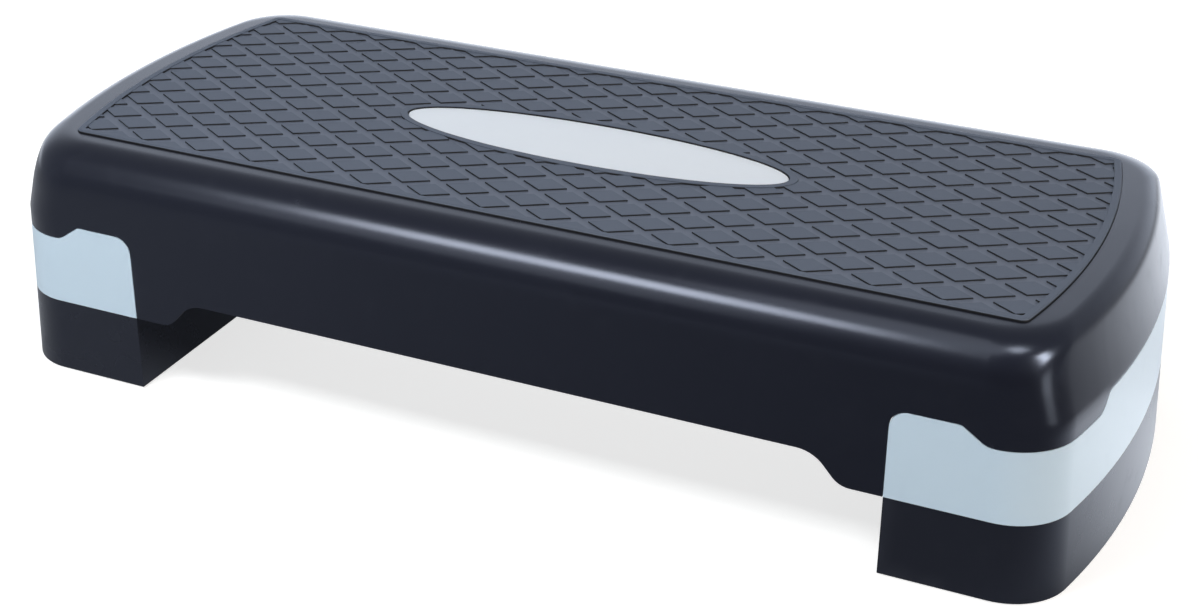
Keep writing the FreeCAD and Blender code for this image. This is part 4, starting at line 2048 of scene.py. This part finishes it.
@dataclass(frozen=True)
class Feet:
    """Rubber feet under the collars and the risers, with ringed soles.

    Attributes:
        thickness: of a foot's disc.
        plug_radius: of the plug above it.
        soft: rounding of the sole's edge.
        groove: width and depth of the rings cut in the sole.
        groove_shares: places of the rings, as shares of the radius.
        steps: faces round a foot.
    """

    thickness: float = 4.0
    plug_radius: float = 9.0
    soft: float = 0.8
    groove: Plan = (0.9, 0.5)
    groove_shares: tuple[float, ...] = (0.35, 0.65)
    steps: int = 48

    def finish(self) -> MouldedRubber:
        """Soft moulded rubber: dull charcoal, dusty where it meets the floor."""
        # Its real grain of about 0.4 mm is too fine to show, so it is drawn at 0.8 mm.
        return MouldedRubber(
            name="charcoal_rubber_moulded",
            slot="foot_rubber",
            colour="#2a2b2e",
            drift_colour="#313337",
            roughness=0.75,
            ior=1.52,
            drift_mm=12.0,
            grain_mm=0.8,
            grain_depth_mm=0.05,
            low_colour="#3f4043",
            # Slightly darker walls: painted shade.
            shaded_wall_colour="#232427",
            low_z=0.0,
            high_z=self.soft,
        )

    def foot(self, node: str) -> Shell:
        """Makes one foot.

        Args:
            node: the construction node that gives its place and size.

        Returns:
            The foot.
        """
        low, high = box_mm(node)
        x, y = (low.x + high.x) / 2, (low.y + high.y) / 2
        radius = (high.x - low.x) / 2
        width, depth = self.groove
        profile: list[Plan] = [(0, low.z)]
        for share in self.groove_shares:
            middle = radius * share
            profile += [(middle - width, low.z), (middle - width / 2, low.z + depth)]
            profile += [(middle + width / 2, low.z + depth), (middle + width, low.z)]
        profile += [
            (radius - self.soft * (1 - math.sin(a)), low.z + self.soft * (1 - math.cos(a)))
            for a in spread(0.0, QUARTER, SOFT_STEPS)
        ]
        seat = low.z + self.thickness
        profile += [(radius, seat), (self.plug_radius, seat), (self.plug_radius, high.z), (0, high.z)]
        return lathe([(x, y)], profile, self.steps)

    def build(self) -> None:
        """Makes and dresses every foot."""
        for body, nodes in sorted(frame["record"]["behaviour"]["bodies"].items()):
            for node in sorted(name for name in nodes if "_foot_" in name):
                Moulding(node + "_pad", self.foot(node)).dress(self.finish(), body, node)


@dataclass(frozen=True)
class Screws:
    """Pan-head screws that hold a collar to the deck, with a cross recess and a rolled thread.

    Attributes:
        head_radius: of a head.
        head_height: of a head.
        dome_share: share of that height that is domed.
        dome_steps: faces across the dome.
        shank_radius: outside the thread.
        thread_pitch: turn to turn.
        thread_depth: crest to root.
        thread_rows: rows of faces in one turn of the thread.
        recess: length, width and depth of the cross.
        steps: faces round a screw.
    """

    head_radius: float = 4.0
    head_height: float = 2.6
    dome_share: float = 0.55
    dome_steps: int = 8
    shank_radius: float = 2.0
    thread_pitch: float = 1.6
    thread_depth: float = 0.35
    thread_rows: int = 6
    recess: Point = (4.4, 0.9, 1.5)
    steps: int = 24

    def thread(self, start: float) -> Callable[[float, float], float]:
        """Gives the form of the thread.

        Args:
            start: height at which the thread starts.

        Returns:
            A function from an angle and a height to the change of radius there.
        """
        def drop(angle: float, z: float) -> float:
            """The thread's drop below its crest, as a negative number."""
            share = ((z - start) / self.thread_pitch - angle / (2 * math.pi)) % 1.0
            return -self.thread_depth * abs(2 * share - 1) if z > start else 0.0

        return drop

    def turned(self, places: Sequence[Plan], low: float, tip: float) -> Shell:
        """Makes the screws without their recesses, head down.

        Args:
            places: plan place of each screw.
            low: lowest point of the heads.
            tip: top of the points.

        Returns:
            The screws.
        """
        seat = low + self.head_height
        dome = self.dome_share * self.head_height
        arc = [
            (self.head_radius * math.sin(a), low + dome * (1 - math.cos(a)))
            for a in spread(0.0, QUARTER, self.dome_steps)
        ]
        profile = arc + [(self.head_radius, seat), (self.shank_radius, seat)]
        shank_top = tip - self.shank_radius
        count = math.ceil((shank_top - seat) / self.thread_pitch * self.thread_rows)
        profile += [(self.shank_radius, z) for z in spread(seat, shank_top, count)[1:]]
        profile += [(self.shank_radius / 2, tip - self.shank_radius / 2), (0, tip)]
        return lathe(places, profile, self.steps, self.thread(seat))

    def slots(self, places: Sequence[Plan], size: Plan, low: float) -> Shell:
        """Makes one slot of each cross recess.

        Args:
            places: plan place of each screw.
            size: the slots' sizes along X and Y.
            low: lowest point of the heads.

        Returns:
            The cutting shapes.
        """
        half_x, half_y, depth = size[0] / 2, size[1] / 2, self.recess[2]
        cuts = Shell()
        for x, y in places:
            corners = [(x - half_x, y - half_y), (x + half_x, y - half_y)]
            corners += [(x + half_x, y + half_y), (x - half_x, y + half_y)]
            cuts.add(slab([(a, b, low - depth) for a, b in corners], (0.0, 0.0, 2 * depth)))
        return cuts

    def build(self, block: EndBlock) -> None:
        """Makes and dresses the screws of both collars.

        Args:
            block: places of the right collar's screws.
        """
        low, high = box_mm("right_collar_screws")
        places = block.grid(block.screw_y)
        length, width, _ = self.recess
        slots = [self.slots(places, size, low.z) for size in ((length, width), (width, length))]
        right = Moulding("right_collar_screw_set", self.turned(places, low.z, high.z))
        right.combine(Combine.CUT, *slots)
        left = right.mirrored("left_collar_screw_set")
        right.dress(ZINC_STEEL, "deck", "right_collar_screws")
        left.dress(ZINC_STEEL, "deck", "left_collar_screws")


# Studio

ENERGY_SHARE = 4   # energy that an area lamp of one square metre needs for a face as bright as white


class Reaches(Enum):
    """Surfaces that a lamp reaches: whether matt ones, and whether glossy ones."""

    ALL = (True, True)
    MATT = (True, False)
    GLOSS = (False, True)


@dataclass(frozen=True)
class Softbox:
    """One soft lamp.

    Attributes:
        name: its name.
        place: its middle.
        aim: the point that it faces.
        width: of its face.
        depth: of its face.
        level: brightness of its face, where 1 is white.
        reaches: surfaces that it lights or shows in.
        colour: of its light.
    """

    name: str
    place: Point
    aim: Point
    width: float
    depth: float
    level: float
    reaches: Reaches = Reaches.ALL
    colour: str = "#fffefb"

    def build(self) -> None:
        """Hangs the lamp."""
        data = bpy.data.lights.new(self.name, "AREA")
        data.shape = "RECTANGLE"
        data.size, data.size_y = metres((self.width, self.depth))
        data.energy = self.level * ENERGY_SHARE * data.size * data.size_y
        data.color = linear(self.colour)[:3]
        lamp = bpy.data.objects.new(self.name, data)
        bpy.context.scene.collection.objects.link(lamp)
        lamp.visible_diffuse, lamp.visible_glossy = self.reaches.value
        lamp.location = metres(self.place)
        way = Vector(self.aim) - Vector(self.place)
        lamp.rotation_mode = "QUATERNION"
        lamp.rotation_quaternion = way.to_track_quat("-Z", "Y")


@dataclass(frozen=True)
class Studio:
    """Pale floor, white surround, soft lamps and the camera at the photograph's angle.

    The values from mirrored_colour to pool_reach are for what a gloss mirrors.

    Attributes:
        floor_size: of the floor.
        floor_colour: of the floor.
        floor_lift: light added to the floor where the camera sees it, so that it reads as white, by the
            step and far from it.
        floor_span: how far from the step's middle those two levels are.
        fill: level of the surround as a light, at the horizon and overhead.
        fill_top: sine of the height at which the fill is down to its level overhead.
        fill_way: way that the fill is strongest.
        fill_swing: share by which it is stronger there and weaker on the far side.
        mirrored_colour: of the surround.
        front: level of the room in front, on the left and on the right.
        front_span: X of the ways that those two levels are seen.
        behind: level of the surround beside the backdrop.
        behind_span: cosines to the backdrop at which the room in front ends and the backdrop starts.
        backdrop: level of the backdrop.
        backdrop_way: way to its middle, seen from the step.
        backdrop_fade: sines of the heights at which the backdrop starts to fade and is gone.
        ceiling: level of the surround overhead.
        ceiling_span: sines of the heights at which the walls end and the ceiling starts.
        paper_colour: of the floor.
        paper_front: level of the floor in front, on the left and on the right.
        paper_front_span: X of those two levels.
        paper_back: level of the floor behind, behind the step and on the right.
        paper_back_span: X of those two levels.
        paper_turn: Y at which the floor in front ends and the floor behind starts.
        shade: share of those levels that is left under the step.
        shade_spans: along X and along Y, where the shade starts to clear and where it ends.
        pool: light on the floor beside the right end.
        pool_place: middle of that light.
        pool_reach: how far it reaches.
        azimuth: degrees that the camera stands to the right of the front.
        elevation: degrees that it stands above the floor.
        roll: degrees that it is turned about its view.
        aim: point at the middle of the picture.
        distance: camera to that point.
        lens: focal length on a full-width sensor.
        sensor: width of the sensor.
        lamps: the soft lamps.
    """

    floor_size: float = 12000.0
    floor_colour: str = "#cbcdcf"
    floor_lift: Plan = (0.7, 1.0)
    floor_span: Plan = (600.0, 1500.0)
    fill: Plan = (1.76, 0.03)
    fill_top: float = 0.52
    fill_way: Point = (-0.5, -0.866, 0.0)
    fill_swing: float = 0.22
    mirrored_colour: str = "#e6eefc"
    front: Plan = (0.54, 0.2)
    front_span: Plan = (-0.65, -0.15)
    behind: float = 0.55
    behind_span: Plan = (-0.6, 0.45)
    backdrop: float = 2.4
    backdrop_way: Point = (-0.342, 0.94, 0.0)
    backdrop_fade: Plan = (0.15, 0.65)
    ceiling: float = 0.46
    ceiling_span: Plan = (0.4, 0.95)
    paper_colour: str = "#ebf1fb"
    paper_front: Plan = (0.58, 0.27)
    paper_front_span: Plan = (-400.0, 200.0)
    paper_back: Plan = (2.1, 0.7)
    paper_back_span: Plan = (330.0, 850.0)
    paper_turn: Plan = (120.0, 350.0)
    shade: float = 0.25
    shade_spans: tuple[Plan, Plan] = ((290.0, 345.0), (90.0, 150.0))
    pool: float = 1.65
    pool_place: Point = (410.0, 40.0, 0.0)
    pool_reach: float = 260.0
    azimuth: float = 24.34
    elevation: float = 27.45
    roll: float = 0.35
    aim: Point = (-8.4, 31.3, 22.0)
    distance: float = 1298.5
    lens: float = 61.25
    sensor: float = 36.0
    lamps: tuple[Softbox, ...] = (
        # Main light, from the front and the left.
        Softbox(
            "key_softbox", (-420.0, -730.0, 1160.0), (-420.0, -130.0, 100.0),
            width=650.0, depth=320.0, level=14.0,
        ),
        # Side light from the right, as a highlight on the corner and as a warm light on the end.
        Softbox(
            "side_softbox", (1319.0, -288.0, 939.0), (310.0, -110.0, 138.0),
            width=270.0, depth=550.0, level=21.0, reaches=Reaches.GLOSS,
        ),
        Softbox(
            "side_fill", (1319.0, -288.0, 939.0), (310.0, -110.0, 138.0),
            width=270.0, depth=550.0, level=17.2, reaches=Reaches.MATT, colour="#ffeedc",
        ),
        # Soft rim of the main light, along the front edge.
        Softbox(
            "key_spill", (-560.0, -1060.0, 884.0), (-60.0, -140.0, 138.0),
            width=700.0, depth=400.0, level=1.0, reaches=Reaches.GLOSS,
        ),
        # Light overhead, as the spot and the faint band over the front corner.
        Softbox(
            "top_softbox", (500.0, -215.0, 1190.0), (290.0, -110.0, 140.0),
            width=260.0, depth=260.0, level=8.5, reaches=Reaches.GLOSS,
        ),
        Softbox(
            "top_panel", (80.0, -330.0, 1190.0), (250.0, -130.0, 140.0),
            width=640.0, depth=420.0, level=1.35, reaches=Reaches.GLOSS,
        ),
        # Light on the back, for views from there.
        Softbox(
            "back_fill", (-100.0, 1500.0, 340.0), (0.0, 140.0, 70.0),
            width=1200.0, depth=450.0, level=5.0, reaches=Reaches.MATT,
        ),
        # Upright glint on the right corner.
        Softbox(
            "side_strip", (900.0, -235.0, 125.0), (310.0, -110.0, 125.0),
            width=150.0, depth=250.0, level=2.5, reaches=Reaches.GLOSS,
        ),
    )

    def straight(self, tree: Tree) -> Socket:
        """1 where the camera sees a surface, straight or through a clear one."""
        path = add_node(tree, "ShaderNodeLightPath").outputs
        through = (path["Is Camera Ray"], path["Is Transmission Ray"])
        return add_node(tree, "ShaderNodeMath", through, operation="MAXIMUM").outputs[0]

    def paper_seen(self, tree: Tree, place: Socket) -> Socket:
        """Makes the floor as matt paper that keeps the step's shadow, lifted to white for the camera.

        Args:
            tree: the floor's node tree.
            place: place on the floor.

        Returns:
            Its shader.
        """
        paper = add_node(tree, "ShaderNodeBsdfDiffuse", {"Color": linear(self.floor_colour)})
        away = add_node(tree, "ShaderNodeVectorMath", (place,), operation="LENGTH").outputs["Value"]
        lift_range = (away, *metres(self.floor_span), *self.floor_lift)
        lift = add_node(tree, "ShaderNodeMapRange", lift_range).outputs["Result"]
        seen_lift = (lift, self.straight(tree))
        shown = add_node(tree, "ShaderNodeMath", seen_lift, operation="MULTIPLY").outputs[0]
        glow = add_node(tree, "ShaderNodeEmission", {"Strength": shown})
        return add_node(tree, "ShaderNodeAddShader", (paper.outputs[0], glow.outputs[0])).outputs[0]

    def paper_mirrored(self, tree: Tree, place: Socket) -> Socket:
        """Makes the floor as a gloss mirrors it: bright behind and by the right end, dark underneath.

        Args:
            tree: the floor's node tree.
            place: place on the floor.

        Returns:
            Its shader.
        """
        axes = add_node(tree, "ShaderNodeSeparateXYZ", {"Vector": place}).outputs
        front_range = (axes["X"], *metres(self.paper_front_span), *self.paper_front)
        front = add_node(tree, "ShaderNodeMapRange", front_range)
        back_range = (axes["X"], *metres(self.paper_back_span), *self.paper_back)
        back = add_node(tree, "ShaderNodeMapRange", back_range, interpolation_type="SMOOTHSTEP")
        turn_range = (axes["Y"], *metres(self.paper_turn))
        turn = add_node(tree, "ShaderNodeMapRange", turn_range, interpolation_type="SMOOTHSTEP")
        parts = (turn.outputs["Result"], front.outputs["Result"], back.outputs["Result"])
        mix = dict(zip((MIX_FACTOR, MIX_LOW, MIX_HIGH), parts))
        level = add_node(tree, "ShaderNodeMix", mix).outputs[0]

        ends = (place, metres(self.pool_place))
        away = add_node(tree, "ShaderNodeVectorMath", ends, operation="DISTANCE").outputs["Value"]
        pool_range = (away, 0.0, self.pool_reach * MM, self.pool, 0.0)
        pool = add_node(tree, "ShaderNodeMapRange", pool_range, interpolation_type="SMOOTHSTEP")
        pooled = (level, pool.outputs["Result"])
        lit = add_node(tree, "ShaderNodeMath", pooled, operation="ADD").outputs[0]

        clear = []
        for axis, span in zip("XY", self.shade_spans):
            off = add_node(tree, "ShaderNodeMath", (axes[axis],), operation="ABSOLUTE").outputs[0]
            clear_range = (off, *metres(span), self.shade, 1.0)
            clear.append(add_node(tree, "ShaderNodeMapRange", clear_range).outputs["Result"])
        share = add_node(tree, "ShaderNodeMath", clear, operation="MAXIMUM").outputs[0]
        shown = add_node(tree, "ShaderNodeMath", (lit, share), operation="MULTIPLY").outputs[0]
        sheet = {"Color": linear(self.paper_colour), "Strength": shown}
        return add_node(tree, "ShaderNodeEmission", sheet).outputs[0]

    def floor(self) -> None:
        """Lays the floor."""
        half = self.floor_size / 2
        corners = [(-half, -half, 0.0), (half, -half, 0.0), (half, half, 0.0), (-half, half, 0.0)]
        mesh = Shell(corners, [(0, 1, 2, 3)]).mesh("studio_floor")
        material = bpy.data.materials.new("white_paper_sweep")
        material.use_nodes = True
        tree = material.node_tree
        tree.nodes.clear()
        place = add_node(tree, "ShaderNodeTexCoord").outputs["Object"]
        in_gloss = add_node(tree, "ShaderNodeLightPath").outputs["Is Glossy Ray"]
        both = (in_gloss, self.paper_seen(tree, place), self.paper_mirrored(tree, place))
        surface = add_node(tree, "ShaderNodeMixShader", both).outputs[0]
        add_node(tree, "ShaderNodeOutputMaterial", {"Surface": surface})
        mesh.materials.append(material)
        floor = bpy.data.objects.new("studio_floor", mesh)
        bpy.context.scene.collection.objects.link(floor)

    def room_fill(self, tree: Tree, way: Socket) -> Socket:
        """Gives the level of the surround as a light: strongest low down and on one side.

        Args:
            tree: the world's node tree.
            way: way that is looked.

        Returns:
            The level.
        """
        height = add_node(tree, "ShaderNodeSeparateXYZ", {"Vector": way}).outputs["Z"]
        even_range = (height, 0.0, self.fill_top, *self.fill)
        even = add_node(tree, "ShaderNodeMapRange", even_range).outputs["Result"]
        ways = (way, self.fill_way)
        toward = add_node(tree, "ShaderNodeVectorMath", ways, operation="DOT_PRODUCT").outputs["Value"]
        swing_range = (toward, -1.0, 1.0, 1 - self.fill_swing, 1 + self.fill_swing)
        swing = add_node(tree, "ShaderNodeMapRange", swing_range).outputs["Result"]
        return add_node(tree, "ShaderNodeMath", (even, swing), operation="MULTIPLY").outputs[0]

    def room_mirrored(self, tree: Tree, way: Socket) -> Socket:
        """Gives the level of the surround in a gloss: a lit backdrop, a dim room and a ceiling.

        Args:
            tree: the world's node tree.
            way: way that is looked.

        Returns:
            The level.
        """
        axes = add_node(tree, "ShaderNodeSeparateXYZ", {"Vector": way}).outputs
        front_range = (axes["X"], *self.front_span, *self.front)
        front = add_node(tree, "ShaderNodeMapRange", front_range).outputs["Result"]
        ways = (way, self.backdrop_way)
        toward = add_node(tree, "ShaderNodeVectorMath", ways, operation="DOT_PRODUCT").outputs["Value"]
        round_range = (toward, *self.behind_span)
        round_share = add_node(tree, "ShaderNodeMapRange", round_range).outputs["Result"]
        room_mix = {MIX_FACTOR: round_share, MIX_LOW: front, MIX_HIGH: self.behind}
        room = add_node(tree, "ShaderNodeMix", room_mix).outputs[0]
        extra = self.backdrop - self.behind
        glow_range = (toward, self.behind_span[1], 1.0, 0.0, extra)
        glow = add_node(tree, "ShaderNodeMapRange", glow_range, interpolation_type="SMOOTHSTEP")
        fade_range = (axes["Z"], *self.backdrop_fade, 1.0, 0.0)
        fade = add_node(tree, "ShaderNodeMapRange", fade_range, interpolation_type="SMOOTHSTEP")
        lit = (glow.outputs["Result"], fade.outputs["Result"], room)
        walls = add_node(tree, "ShaderNodeMath", lit, operation="MULTIPLY_ADD").outputs[0]
        height_range = (axes["Z"], *self.ceiling_span)
        height = add_node(tree, "ShaderNodeMapRange", height_range).outputs["Result"]
        whole_mix = {MIX_FACTOR: height, MIX_LOW: walls, MIX_HIGH: self.ceiling}
        return add_node(tree, "ShaderNodeMix", whole_mix).outputs[0]

    def surround(self) -> None:
        """Sets the surround: plain fill as a light, a lit backdrop in a gloss, white where it is seen."""
        world = bpy.data.worlds.new("white_surround")
        world.use_nodes = True
        tree = world.node_tree
        tree.nodes.clear()
        way = add_node(tree, "ShaderNodeTexCoord").outputs["Generated"]
        in_gloss = add_node(tree, "ShaderNodeLightPath").outputs["Is Glossy Ray"]
        fill, mirrored = self.room_fill(tree, way), self.room_mirrored(tree, way)
        unseen_mix = {MIX_FACTOR: in_gloss, MIX_LOW: fill, MIX_HIGH: mirrored}
        unseen = add_node(tree, "ShaderNodeMix", unseen_mix).outputs[0]
        level_mix = {MIX_FACTOR: self.straight(tree), MIX_LOW: unseen, MIX_HIGH: 1.0}
        level = add_node(tree, "ShaderNodeMix", level_mix).outputs[0]
        tint_mix = {MIX_FACTOR: in_gloss, MIX_A: linear(WHITE), MIX_B: linear(self.mirrored_colour)}
        tint = add_node(tree, "ShaderNodeMix", tint_mix, data_type="RGBA").outputs[MIX_RESULT]
        sky = add_node(tree, "ShaderNodeBackground", {"Color": tint, "Strength": level})
        add_node(tree, "ShaderNodeOutputWorld", {"Surface": sky.outputs[0]})
        bpy.context.scene.world = world

    def camera(self) -> None:
        """Stands the camera at the photograph's angle."""
        turn, tilt = math.radians(self.azimuth), math.radians(self.elevation)
        back = Vector((math.sin(turn) * math.cos(tilt), -math.cos(turn) * math.cos(tilt), math.sin(tilt)))
        data = bpy.data.cameras.new("photo_camera")
        data.sensor_width = self.sensor
        data.lens = self.lens
        camera = bpy.data.objects.new("photo_camera", data)
        bpy.context.scene.collection.objects.link(camera)
        facing = (-back).to_track_quat("-Z", "Y").to_matrix()
        rolled = facing @ Matrix.Rotation(math.radians(self.roll), 3, "Z")
        place = Vector(metres(Vector(self.aim) + back * self.distance))
        camera.matrix_world = Matrix.Translation(place) @ rolled.to_4x4()
        bpy.context.scene.camera = camera

    def build(self) -> None:
        """Sets up the whole studio."""
        self.floor()
        self.surround()
        for lamp in self.lamps:
            lamp.build()
        self.camera()
        bpy.context.scene.view_settings.view_transform = "Standard"


def main() -> None:
    """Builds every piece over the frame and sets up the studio."""
    logging.basicConfig(level=logging.INFO, format="%(message)s")
    form = StepForm.from_frame()
    edge = CollarEdge.from_frame(form)
    screws = Screws()
    block = EndBlock.from_frame(form, screws.head_radius)
    plate = OvalPlate.from_frame()
    tread = Tread.from_frame(form, plate)
    deck = Deck(form, edge, tread, block)
    deck.build()
    tread.build(deck.stake_places())
    plate.build(deck.rib_places()[1])
    Collar(form, edge, block).build()
    Riser.from_frame(form, edge, block).build()
    Feet().build()
    screws.build(block)
    Studio().build()


if __name__ == "__main__":
    main()
